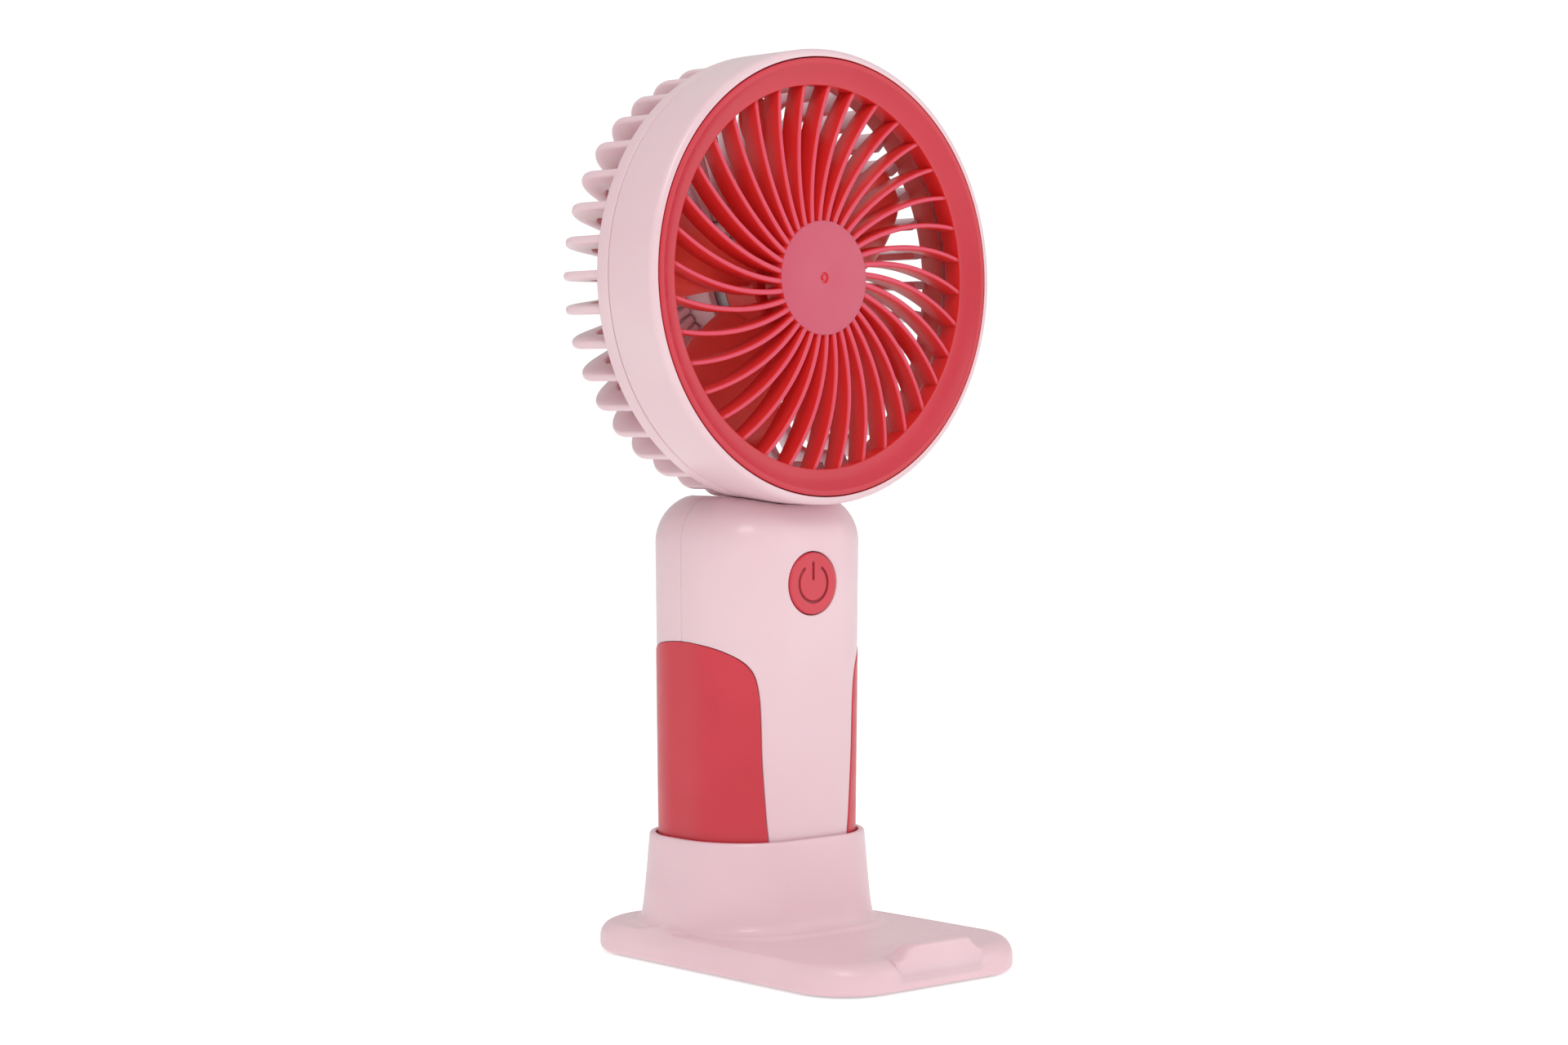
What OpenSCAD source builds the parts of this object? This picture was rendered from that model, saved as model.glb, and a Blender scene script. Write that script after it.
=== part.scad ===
// Handheld electric fan that stands in a cup on a phone-rest base.
// Millimetres. +Z is up and the front of the fan faces -Y.
// The origin is on the underside of the base, straight below the handle's axis.

/* [Head] */
// Outer radius of the head
head_r = 50; // [45:0.5:55]
// Height of the head's centre above the table
head_z = 152; // [150:0.5:156]
// Distance from the handle's axis forward to the grille's rim
bezel_front = 24.4; // [23:0.1:26]
// Number of ribs in the front grille
rib_count = 36; // [24:1:40]
// Number of fins in the rear grille
fin_count = 40; // [30:1:44]
// Angle that a rib sweeps through from the hub to the rim
rib_sweep = 18.5; // [0:0.5:25]
// Width of a front rib
rib_w = 1.1; // [0.8:0.1:1.4]
// Thickness of a rear fin
fin_w = 1.8; // [1.4:0.1:2]
// Number of impeller blades
blade_count = 5; // [3:1:7]

/* [Handle] */
// Half width of the handle at its shoulder
handle_half_w = 22.6; // [21:0.1:24]
// Half depth of the handle at its shoulder
handle_half_d = 19; // [18.5:0.1:20]
// Corner radius of the handle's section
handle_corner = 16; // [14:0.5:17]
// Radius of the shoulder at the top of the handle
shoulder_r = 11; // [8:0.5:12]
// How far each side draws in from the shoulder to the bottom
handle_taper = 0.9; // [0:0.1:1.2]
// Wall thickness of the two halves
handle_wall = 2.4; // [2.2:0.1:2.8]
// Height of the power button's centre
button_z = 84.5; // [80:0.5:88]
// Radius of the power button
button_r = 6.9; // [5:0.1:7.5]

/* [Base] */
// Half width of the foot
foot_half_w = 29.5; // [28:0.5:34]
// Reach of the foot in front of the handle's axis
foot_front = 60; // [56:1:66]
// Reach of the foot behind the handle's axis
foot_back = 29; // [27:1:34]
// Height of the foot's top face
foot_top = 7.2; // [6.8:0.1:7.5]
// Height of the cup's rim
rim_z = 27.8; // [24:0.2:34]
// Height of the phone stop's edge
stop_z = 10.1; // [9:0.1:12]

/* [Hidden] */
$fn = 96;
hull_fn = 32;
eps = 0.01;

pink = [0.92, 0.81, 0.84];
coral = [0.83, 0.25, 0.32];
steel = [0.75, 0.75, 0.78];
brass = [0.85, 0.7, 0.35];

// Head, measured forward (towards -Y) from the handle's axis
ring_front = bezel_front - 0.2;
ring_edge_r = 1.5;
seam = 9.2;
ring_back = 5;
rear_ring_in_r = 46.2;
grille_seat = 20.4;
ledge_t = 1.5;
rib_front = bezel_front - 2.2;
rib_depth = 5;
bezel_r = head_r - 2;
bezel_in_r = 42.2;
hub_r = 12.65;
rib_phase = 5;
fin_out_r = head_r - 0.9;
fin_back = -13;
motor_r = 12;
motor_front = 2.6;
motor_back = -8.4;
shaft_r = 1;
bush_clearance = 0.03;
motor_cup_r = 14;
motor_cup_front = -1;
motor_screw_at = [45, 225];
terminal_x = 4;
rear_hub_r = 16;
impeller_r = 12.8;
impeller_wall = 1.6;
impeller_at = [3.6, 14];
blade_at = 6.2;
blade_t = 1.5;
blade_pitch = 34;
blade_tip_r = 41;
neck_w = 16;
neck_y = [-9, 3];
neck_gap = 0.2;
flange = [22, 9, 2.6];
duct_x = 1.8;

// Handle
handle_bottom = 8;
handle_top = head_z - head_r + 2.2;
saddle_r = head_r + 0.15;
grip_depth = 1.2;
grip_proud = 0.2;
button_clearance = 0.25;
button_front = -handle_half_d - 0.1;
symbol_r = 4.2;
symbol_line = 0.6;
plunger_y = -5.4;
wire_r = 0.6;
board_y = 3;
board_t = 1.6;
board_z = [63, 92];
board_screw_at = [for (x = [-12, 12], z = [board_z[0] + 5, board_z[1] - 5]) [x, z]];
usb_z = 77;
cell_r = 9.2;
cell_z = [10.8, 61];
screw_z = [24, 58];
screw_x = 15.5;
ceiling_z = 99.4;

// Base
pad_t = 0.5;
plate_t = 1.5;
foot_corner = 13.5;
foot_edge_r = 3.6;
base_wall = 2.2;
cup_gap = 0.4;
cup_wall = 1.7;
stop_half_w = [11.6, 8.5];
stop_t = [5, 4];
base_screw_at = [[-21, -48], [21, -48], [-19, 20], [19, 20]];

// Outline of the left grip seen from the front: [x, z], from its bottom up its inner edge
grip_outline = [[-11.8, 0], [-11.8, 28], [-12.8, 35], [-13.5, 46], [-13.7, 57], [-14.1, 61],
                [-14.8, 64.4], [-16, 66.6], [-17.7, 68.2], [-20, 69.6], [-21.6, 70.6], [-30, 73.5],
                [-30, 0]];

// Places its children in the head's frame: x right, y up, z forward along the head's axis.
module in_head() translate([0, 0, head_z]) rotate([90, 0, 0]) children();

// Cylinder that points backward (+Y) from the point p.
module peg(p, r, len) translate(p) rotate([-90, 0, 0]) cylinder(r = r, h = len);

module tube(r_out, r_in, z0, z1) {
    translate([0, 0, z0]) difference() {
        cylinder(r = r_out, h = z1 - z0);
        translate([0, 0, -eps]) cylinder(r = r_in, h = z1 - z0 + 2 * eps);
    }
}

// Solid of the handle's outer shape, drawn in by inset on every face.
module handle_form(inset = 0) {
    shoulder = shoulder_r - inset;
    hull() for (sx = [-1, 1], sy = [-1, 1]) {
        translate([sx * (handle_half_w - handle_corner), sy * (handle_half_d - handle_corner),
                   handle_top - shoulder_r])
            rotate_extrude($fn = hull_fn) intersection() {
                translate([handle_corner - shoulder_r, 0]) circle(r = shoulder);
                translate([0, -shoulder]) square(2 * shoulder + handle_corner);
            }
        translate([sx * (handle_half_w - handle_corner), sy * (handle_half_d - handle_corner),
                   handle_bottom + inset])
            cylinder(r = handle_corner - handle_taper - inset, h = 1, $fn = hull_fn);
    }
}

// Region of one grip, from front to back.
module grip_region(side) {
    mirror([side > 0 ? 1 : 0, 0, 0]) rotate([90, 0, 0]) translate([0, 0, -40])
        linear_extrude(80) polygon(grip_outline);
}

module shell_half(side) {
    difference() {
        intersection() {
            handle_form();
            translate([-40, side < 0 ? -40 : 0, 0]) cube([80, 40, 120]);
        }
        intersection() {
            handle_form(handle_wall);
            translate([-40, -40, 0]) cube([80, 80, ceiling_z]);
        }
        // seat for the ring of the head
        in_head() translate([0, 0, -30]) cylinder(r = saddle_r, h = 60);
        // opening for the neck
        translate([-neck_w / 2 - neck_gap, neck_y[0] - neck_gap, 90])
            cube([neck_w + 2 * neck_gap, neck_y[1] - neck_y[0] + 2 * neck_gap, 20]);
        // recesses for the grips
        intersection() {
            for (s = [-1, 1]) grip_region(s);
            difference() {
                handle_form(-1);
                handle_form(grip_depth + 0.05);
            }
        }
    }
}

// Posts that the handle's screws pass through, with their holes starting at hole_y.
module screw_posts(y0, y1, r_out, r_hole, hole_y) {
    for (x = [-screw_x, screw_x], z = screw_z) difference() {
        peg([x, y0, z], r_out, y1 - y0);
        peg([x, hole_y, z], r_hole, y1 - hole_y + 1);
    }
}

// Round rod through the points p.
function unit(v) = v / norm(v);
module rod(p, r, sides = 8) {
    n = len(p);
    dirs = [for (i = [0:n - 1]) unit(p[min(i + 1, n - 1)] - p[max(i - 1, 0)])];
    rings = [for (i = [0:n - 1])
        let (u = unit(cross(dirs[i], [1, 0.02, 0])), v = cross(dirs[i], u))
        for (k = [0:sides - 1]) p[i] + r * (cos(360 * k / sides) * u + sin(360 * k / sides) * v)];
    walls = [for (i = [0:n - 2], k = [0:sides - 1])
        let (a = i * sides, b = a + sides, next = (k + 1) % sides) [a + k, a + next, b + next, b + k]];
    polyhedron(rings, concat([[for (k = [sides - 1:-1:0]) k]], walls,
                             [[for (k = [0:sides - 1]) (n - 1) * sides + k]]));
}

// ---- Head ----

module front_ring() {
    color(pink) in_head() {
        tube(head_r, bezel_r + 0.05, seam + 0.2, ring_front - ring_edge_r);
        // rounded front edge
        rotate_extrude() translate([head_r - ring_edge_r, ring_front - ring_edge_r]) intersection() {
            circle(r = ring_edge_r, $fn = 48);
            translate([-0.45, 0]) square(2);
        }
        // ledge that the grille sits on
        tube(bezel_r + 0.1, bezel_r - 2, grille_seat - ledge_t, grille_seat);
    }
}

// One edge of a rib, which turns in proportion to its distance from the hub.
function rib_edge(side) = [for (i = [0:8])
    let (u = i / 8,
         r = hub_r - 0.6 + (bezel_in_r - hub_r + 1.6) * u,
         a = -rib_sweep * u + side * rib_w / 2 / r * 180 / PI)
    r * [cos(a), sin(a)]];
function reversed(v) = [for (i = [len(v) - 1:-1:0]) v[i]];

module front_grille() {
    color(coral) in_head() difference() {
        union() {
            rotate_extrude() polygon([
                [bezel_in_r, rib_front - rib_depth], [bezel_in_r + 2, rib_front - rib_depth],
                [bezel_r - 2.6, grille_seat], [bezel_r, grille_seat], [bezel_r, bezel_front],
                [bezel_r - 1.2, bezel_front], [bezel_in_r, rib_front]]);
            // each rib stands 0.2 mm in from the bezel's back and front
            for (i = [0:rib_count - 1]) rotate(rib_phase + i * 360 / rib_count)
                translate([0, 0, rib_front - rib_depth + 0.2]) linear_extrude(rib_depth - 0.4)
                    polygon(concat(rib_edge(-1), reversed(rib_edge(1))));
            translate([0, 0, rib_front - 2.5]) cylinder(r = hub_r, h = 3);
            tube(hub_r, hub_r - 1.6, rib_front - rib_depth, rib_front - 1);
        }
        // dimple at the middle of the hub
        translate([0, 0, rib_front + 0.2]) cylinder(r = 1, h = 1);
    }
}

// Outline of a rear fin: [distance from the head's axis, forward position]
fin_bend_r = 8;
fin_outline = concat(
    [[45, ring_back + 1.5], [fin_out_r, ring_back + 1.5]],
    [for (a = [0:-18:-90]) [fin_out_r - fin_bend_r + fin_bend_r * cos(a),
                            fin_back + fin_bend_r + fin_bend_r * sin(a)]],
    [[15, fin_back], [15, fin_back + 3.5], [38, fin_back + 3.5], [44.3, fin_back + 9]]);

module rear_grille() {
    color(pink) in_head() difference() {
        union() {
            tube(head_r, rear_ring_in_r, ring_back, seam);
            // spigot that the front ring snaps over
            tube(bezel_r - 0.15, rear_ring_in_r, seam - eps, seam + 3);
            for (i = [0:fin_count - 1]) rotate(i * 360 / fin_count) translate([0, fin_w / 2, 0])
                rotate([90, 0, 0]) linear_extrude(fin_w) polygon(fin_outline);
            // motor cup
            translate([0, 0, fin_back - 0.2]) cylinder(r = rear_hub_r, h = 2);
            tube(motor_cup_r, motor_r + 0.1, fin_back + 1, motor_cup_front);
            // neck, with a flange held between the handle's halves just under their top wall
            translate([-neck_w / 2, -head_r - 8, -neck_y[1]]) cube([neck_w, 10.5, neck_y[1] - neck_y[0]]);
            translate([-flange[0] / 2, ceiling_z - 0.2 - flange[2] - head_z, -1.5])
                cube([flange[0], flange[2], flange[1]]);
        }
        translate([0, 0, -3.6]) cylinder(r = rear_ring_in_r, h = 20);
        // wire notch in the motor cup
        translate([-3.2, -17, fin_back + 1.9]) cube([6.4, 6, 3.8]);
        // wire ducts in the neck
        for (x = [-duct_x, duct_x]) translate([x, -head_r - 9, 0.4]) rotate([-90, 0, 0])
            cylinder(r = 0.9, h = 20);
    }
}

module impeller_blade() {
    rotate([blade_pitch, 0, 0]) linear_extrude(blade_t, center = true) intersection() {
        circle(r = blade_tip_r);
        blade_outline();
    }
}

// Flat outline of a blade: narrow at the hub and wide and rounded at the tip.
module blade_outline() {
    polygon([[9, -7], [34, -13], [34, 13], [9, 7]]);
    translate([31, 0]) square([9.5, 14], center = true);
    for (y = [-5.5, 5.5]) translate([33, y]) circle(r = 7.5);
}

module impeller() {
    color(coral) in_head() difference() {
        union() {
            translate([0, 0, impeller_at[1] - impeller_wall]) cylinder(r = impeller_r, h = impeller_wall);
            tube(impeller_r, impeller_r - impeller_wall, impeller_at[0], impeller_at[1] - 1);
            // boss pressed onto the shaft
            translate([0, 0, 5]) cylinder(r = 3, h = 8);
            difference() {
                for (i = [0:blade_count - 1]) rotate(i * 360 / blade_count) translate([0, 0, blade_at])
                    impeller_blade();
                translate([0, 0, -20]) cylinder(r = impeller_r - impeller_wall / 2, h = 60);
            }
        }
        translate([0, 0, -1]) cylinder(r = shaft_r, h = 13);
    }
}

module motor_shaft() {
    color(steel) in_head() translate([0, 0, motor_back - 0.4]) cylinder(r = shaft_r, h = 21);
}

module motor_can() {
    color(steel) in_head() difference() {
        union() {
            translate([0, 0, motor_back]) cylinder(r = motor_r, h = motor_front - motor_back);
            translate([0, 0, motor_front - eps]) cylinder(r = 3, h = 1);
        }
        translate([0, 0, motor_back - 1]) cylinder(r = 10.8, h = motor_front - motor_back - 0.2);
        translate([0, 0, 0]) cylinder(r = 2, h = 5);
        for (a = motor_screw_at) rotate(a) translate([8, 0, 0]) cylinder(r = 0.95, h = 5);
    }
}

module motor_end_cap() {
    color([0.15, 0.15, 0.16]) in_head() difference() {
        union() {
            translate([0, 0, motor_back - 1]) cylinder(r = motor_r - 0.3, h = 1);
            translate([0, 0, motor_back - eps]) cylinder(r = 10.75, h = 1.8);
        }
        translate([0, 0, motor_back - 0.6]) cylinder(r = 2, h = 5);
        for (x = [-terminal_x, terminal_x]) translate([x, -4, motor_back - 2])
            cube([1.6, 0.6, 8], center = true);
    }
}

module motor_magnets() {
    color([0.25, 0.25, 0.27]) in_head() difference() {
        tube(10.8, 9.4, motor_back + 2.4, motor_front - 1.8);
        for (a = [0, 90]) rotate(a) cube([3, 40, 40], center = true);
    }
}

module motor_armature() {
    color([0.6, 0.35, 0.2]) in_head() difference() {
        translate([0, 0, motor_back + 3]) cylinder(r = 8.8, h = 5.4);
        for (a = [0:120:240]) rotate(a) translate([5.5, -0.8, motor_back]) cube([6, 1.6, 20]);
        translate([0, 0, motor_back]) cylinder(r = shaft_r, h = 20);
    }
}

module motor_bushes() {
    color(brass) in_head() {
        tube(2, shaft_r + bush_clearance, 0.2, motor_front + 1.3);
        tube(2, shaft_r + bush_clearance, motor_back - 0.55, motor_back + 1.6);
    }
}

module motor_terminals() {
    color(brass) in_head() for (x = [-terminal_x, terminal_x])
        translate([x - 0.8, -4.3, motor_back - 2]) cube([1.6, 0.6, 3]);
}

module motor_screws() {
    color(steel) in_head() for (a = motor_screw_at) rotate(a) translate([8, 0, 0]) {
        translate([0, 0, motor_front]) cylinder(r = 1.7, h = 0.9);
        translate([0, 0, motor_front - 2]) cylinder(r = 0.9, h = 2.5);
    }
}

// Route of one motor lead, from the motor's terminal down the neck to the board
lead_route = [[4, 10.3, 147.1], [3.4, 10.3, 144.4], [2.6, 10.2, 141.5], [2.1, 9.6, 139.2], [1.8, 8.9, 137],
              [1.8, 8.5, 134], [1.8, 8.5, 125], [1.8, 8.5, 116], [1.8, 8, 112.2], [1.8, 6.2, 109.2],
              [1.8, 3.2, 107.7], [1.8, 1, 107.2], [1.8, -0.2, 106.4], [1.8, -0.4, 105], [1.8, -0.4, 100],
              [1.8, -0.4, 94.4], [1.8, 0.2, 92.6], [1.8, 1.4, 91.2], [1.8, 2.3, 89.8]];

module motor_leads() {
    for (s = [-1, 1]) color(s < 0 ? "firebrick" : [0.1, 0.1, 0.1])
        rod([for (p = lead_route) [s * p[0], p[1], p[2]]], wire_r);
}

// ---- Handle ----

module handle_front() {
    color(pink) difference() {
        union() {
            shell_half(-1);
            intersection() {
                handle_form(handle_wall - 0.3);
                screw_posts(-16.5, -0.1, 2.6, 1.1, -12);
            }
        }
        peg([0, -30, button_z], button_r + button_clearance, 20);
    }
}

module handle_back() {
    color(pink) difference() {
        union() {
            shell_half(1);
            intersection() {
                handle_form(handle_wall - 0.3);
                screw_posts(0.1, 20, 3.4, 1.5, -1);
            }
            for (p = board_screw_at) difference() {
                peg([p[0], board_y + board_t, p[1]], 2.2, 11.8);
                peg([p[0], board_y, p[1]], 0.8, 8);
            }
        }
        // seats for the screws' heads, under the grips
        for (x = [-screw_x, screw_x], z = screw_z) {
            peg([x, 9, z], 2.6, 20);
            peg([x, -1, z], 1.5, 20);
        }
        // charging port
        translate([0, 10, usb_z]) rotate([-90, 0, 0]) linear_extrude(15) usb_outline(9.6, 3.8);
    }
}

module grip(side) {
    intersection() {
        difference() {
            handle_form(-grip_proud);
            handle_form(grip_depth);
        }
        grip_region(side);
        translate([-40, -40, handle_bottom]) cube([80, 80, 100]);
    }
}

module left_grip() { color(coral) grip(-1); }
module right_grip() { color(coral) grip(1); }

module power_button() {
    color(coral) difference() {
        union() {
            peg([0, button_front, button_z], button_r, 3.3);
            peg([0, button_front + 2.9, button_z], button_r + 1.2, 1.2);
            peg([0, button_front + 3.9, button_z], 1.6, plunger_y - button_front - 3.9);
        }
        // power symbol: a ring that is open 40 degrees each side of the top, and a bar
        translate([0, button_front - 1, button_z]) rotate([-90, 0, 0]) {
            rotate(-50) rotate_extrude(angle = 280) translate([symbol_r - symbol_line / 2, 0])
                square([symbol_line, 1.5]);
            translate([-symbol_line / 2, -symbol_r - 0.2, 0]) cube([symbol_line, 3.5, 1.5]);
        }
    }
}

module switch_housing() {
    color([0.16, 0.16, 0.17]) difference() {
        translate([-3, -1, button_z - 3]) cube([6, board_y + 1, 6]);
        peg([0, -2, button_z], 1.75, 4.5);
    }
}

module switch_plunger() { color([0.1, 0.1, 0.1]) peg([0, plunger_y, button_z], 1.7, 6.8); }

module circuit_board() {
    color([0.1, 0.4, 0.22]) difference() {
        translate([-14, board_y, board_z[0]]) cube([28, board_t, board_z[1] - board_z[0]]);
        for (p = board_screw_at) peg([p[0], 0, p[1]], 1.1, 10);
    }
}

module board_components() {
    color([0.12, 0.12, 0.13]) {
        translate([-8, board_y - 1.5, 67]) cube([5, 1.5, 4]);
        translate([3, board_y - 1.2, 67.5]) cube([3, 1.2, 3]);
        translate([-9, board_y - 2.5, 74]) cube([4, 2.5, 4]);
        for (x = [4, 6, 8]) translate([x, board_y - 0.8, 74]) cube([0.9, 0.8, 1.7]);
    }
}

module usb_outline(w, h) {
    translate([-(w - h) / 2, -h / 2]) square([w - h, h]);
    for (s = [-1, 1]) translate([s * (w - h) / 2, 0]) circle(d = h);
}

module usb_socket() {
    color(steel) translate([0, board_y + board_t, usb_z]) rotate([-90, 0, 0]) difference() {
        linear_extrude(13) usb_outline(8.94, 3.2);
        translate([0, 0, 2]) linear_extrude(13) usb_outline(8.34, 2.6);
    }
}

module usb_tongue() {
    color([0.1, 0.1, 0.1]) translate([-3.3, board_y + board_t + 2, usb_z - 0.35]) cube([6.6, 8.5, 0.7]);
}

module battery_cell() {
    color([0.25, 0.5, 0.35]) {
        translate([0, 0, cell_z[0]]) cylinder(r = cell_r, h = cell_z[1] - cell_z[0] - 1);
        translate([0, 0, cell_z[1] - 1 - eps]) cylinder(r = 3, h = 1);
    }
}

module battery_tabs() {
    color(steel) {
        translate([-2, -2, cell_z[1]]) cube([4, 6, 0.2]);
        translate([-2, -2, cell_z[0] - 0.25]) cube([4, 11.75, 0.25]);
        // lug turned up beside the cell
        translate([-2, 9.5, cell_z[0] - 0.25]) cube([4, 0.25, 4]);
    }
}

// Routes of the battery's leads, from its tabs to the lower edge of the board
plus_route = [[-1, 3, 61.95], [-2, 2.4, 62.3], [-4, 1.9, 63.2], [-6, 1.7, 64.4], [-6, 2.2, 65.4]];
minus_route = [[1, 10.4, 12], [1, 10.4, 30], [1, 10.4, 50], [1.6, 10.4, 57], [2.4, 10.4, 59.6],
               [3.6, 9.4, 61.2], [4.8, 7.4, 61.8], [6, 4.6, 61.9], [6.6, 2.6, 62.2],
               [6.6, 1.8, 63.2], [6.6, 1.8, 64.2], [6.6, 2.2, 65.2]];

module battery_leads() {
    color("firebrick") rod(plus_route, wire_r);
    color([0.1, 0.1, 0.1]) rod(minus_route, wire_r);
}

module handle_screws() {
    color(steel) for (x = [-screw_x, screw_x], z = screw_z) {
        peg([x, -8, z], 1.1, 17);
        peg([x, 9, z], 2.3, 1.6);
    }
}

module board_screws() {
    color(steel) for (p = board_screw_at) {
        peg([p[0], board_y - 1, p[1]], 1.8, 1);
        peg([p[0], board_y - 0.5, p[1]], 0.8, 7);
    }
}

// ---- Base ----

module foot_form(inset, z0, z1, edge_r) {
    hull() for (x = [-1, 1], y = [-foot_front + foot_corner, foot_back - foot_corner])
        translate([x * (foot_half_w - foot_corner), y, 0]) {
            translate([0, 0, z0]) cylinder(r = foot_corner - inset, h = 0.5, $fn = 48);
            translate([0, 0, z1 - edge_r]) rotate_extrude($fn = 48)
                translate([foot_corner - inset - edge_r, 0]) circle(r = edge_r, $fn = 24);
        }
}

// Section of the cup between two heights, grown outward from the handle's bottom section.
module cup_form(grow0, z0, grow1, z1) {
    corner = handle_corner - handle_taper;
    hull() for (sx = [-1, 1], sy = [-1, 1])
        translate([sx * (handle_half_w - handle_corner), sy * (handle_half_d - handle_corner), 0]) {
            translate([0, 0, z0]) cylinder(r = corner + grow0, h = eps, $fn = 48);
            translate([0, 0, z1 - eps]) cylinder(r = corner + grow1, h = eps, $fn = 48);
        }
}

module base_shell() {
    outer = cup_gap + cup_wall;
    color(pink) difference() {
        union() {
            foot_form(0, pad_t, foot_top, foot_edge_r);
            cup_form(outer + 1.9, 5, outer + 0.2, rim_z);
            cup_form(outer + 4, foot_top - 0.6, outer + 1.9, foot_top + 2.2);
            // phone stop
            hull() {
                translate([-stop_half_w[0], -foot_front, 3])
                    cube([2 * stop_half_w[0], stop_t[0], foot_top - 3.6]);
                translate([-stop_half_w[1], -foot_front, 3])
                    cube([2 * stop_half_w[1], stop_t[1], stop_z - 3]);
            }
        }
        cup_form(cup_gap + 0.2, handle_bottom, cup_gap + 0.5, rim_z + 0.1);
        difference() {
            foot_form(base_wall, 0, foot_top - base_wall + 0.6, 2);
            for (p = base_screw_at) translate([p[0], p[1], pad_t + plate_t]) cylinder(r = 3, h = 10);
        }
        for (p = base_screw_at) translate([p[0], p[1], 0]) cylinder(r = 1, h = 5.4);
    }
}

module base_plate() {
    color(pink) difference() {
        translate([0, 0, pad_t]) linear_extrude(plate_t) for (s = [0, 1]) {
            inset = base_wall + 0.15;
            translate([-foot_half_w + (s ? foot_corner : inset), -foot_front + (s ? inset : foot_corner)])
                square([2 * (foot_half_w - (s ? foot_corner : inset)),
                        foot_front + foot_back - 2 * (s ? inset : foot_corner)]);
            for (x = [-1, 1]) translate([x * (foot_half_w - foot_corner),
                                         s ? foot_back - foot_corner : foot_corner - foot_front])
                circle(r = foot_corner - inset);
        }
        for (p = base_screw_at) translate([p[0], p[1], 0]) {
            cylinder(r = 1.4, h = 5);
            cylinder(r = 2.5, h = pad_t + 1);
        }
    }
}

module non_slip_pad() {
    color([0.3, 0.3, 0.32]) linear_extrude(pad_t) {
        translate([-23, -40]) square([46, 52]);
        translate([-14, -54]) square([28, 77]);
    }
}

module base_screws() {
    color(steel) for (p = base_screw_at) translate([p[0], p[1], 0]) {
        translate([0, 0, pad_t + 0.1]) cylinder(r = 2.3, h = 0.9);
        translate([0, 0, pad_t + 0.5]) cylinder(r = 1, h = 4.2);
    }
}

front_ring();
front_grille();
rear_grille();
impeller();
motor_shaft();
motor_can();
motor_end_cap();
motor_magnets();
motor_armature();
motor_bushes();
motor_terminals();
motor_screws();
motor_leads();
handle_front();
handle_back();
left_grip();
right_grip();
power_button();
switch_housing();
switch_plunger();
circuit_board();
board_components();
usb_socket();
usb_tongue();
battery_cell();
battery_tabs();
battery_leads();
handle_screws();
board_screws();
base_shell();
base_plate();
non_slip_pad();
base_screws();
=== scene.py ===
import math
import bpy
import bmesh
import numpy as np
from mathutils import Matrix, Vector


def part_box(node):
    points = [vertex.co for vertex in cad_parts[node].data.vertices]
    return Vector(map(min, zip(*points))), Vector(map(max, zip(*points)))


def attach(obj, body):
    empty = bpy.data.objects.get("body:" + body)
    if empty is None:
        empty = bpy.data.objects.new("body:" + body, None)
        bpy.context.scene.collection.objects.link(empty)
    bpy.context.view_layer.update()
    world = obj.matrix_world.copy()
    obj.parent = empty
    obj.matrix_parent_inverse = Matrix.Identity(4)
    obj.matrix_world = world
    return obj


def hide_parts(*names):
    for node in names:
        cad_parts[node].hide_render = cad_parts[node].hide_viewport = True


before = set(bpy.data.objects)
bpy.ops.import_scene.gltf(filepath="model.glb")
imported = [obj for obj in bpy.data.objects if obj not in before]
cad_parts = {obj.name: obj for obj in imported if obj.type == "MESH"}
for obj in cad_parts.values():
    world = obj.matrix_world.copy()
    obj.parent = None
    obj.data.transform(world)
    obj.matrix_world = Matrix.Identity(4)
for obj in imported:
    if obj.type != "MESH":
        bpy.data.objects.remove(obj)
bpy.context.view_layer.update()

mm = 0.001
tau = 2 * math.pi


# what the frame says, in millimetres

def boxOf(*nodes):
    corners = [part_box(node) for node in nodes]
    low = np.min([np.array(lowest) for lowest, highest in corners], axis=0) / mm
    high = np.max([np.array(highest) for lowest, highest in corners], axis=0) / mm
    return low, high


ringLow, ringHigh = boxOf("front_ring")
headR = (ringHigh[0] - ringLow[0]) / 2
headZ = (ringHigh[2] + ringLow[2]) / 2
ringFront, seamAt = -ringLow[1], -ringHigh[1]      # distances forward of the handle's axis
grilleLow, grilleHigh = boxOf("front_grille")
bezelFront, bezelR = -grilleLow[1], (grilleHigh[0] - grilleLow[0]) / 2
handleLow, handleHigh = boxOf("handle_front", "handle_back")
halfW, halfD = handleHigh[0], handleHigh[1]
handleBottom = handleLow[2]
buttonLow, buttonHigh = boxOf("power_button")
buttonZ = (buttonLow[2] + buttonHigh[2]) / 2
baseLow, baseHigh = boxOf("base_shell")


def gridFaces(rows, cols, wrapRows, wrapCols):
    # the four corners of each cell of a grid of points, rows and columns joined up where they wrap
    i = np.arange(rows if wrapRows else rows - 1)[:, None]
    j = np.arange(cols if wrapCols else cols - 1)[None, :]
    nextI, nextJ = (i + 1) % rows, (j + 1) % cols
    corners = [i * cols + j, i * cols + nextJ, nextI * cols + nextJ, nextI * cols + j]
    return np.stack(np.broadcast_arrays(*corners), -1).reshape(-1, 4)


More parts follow.
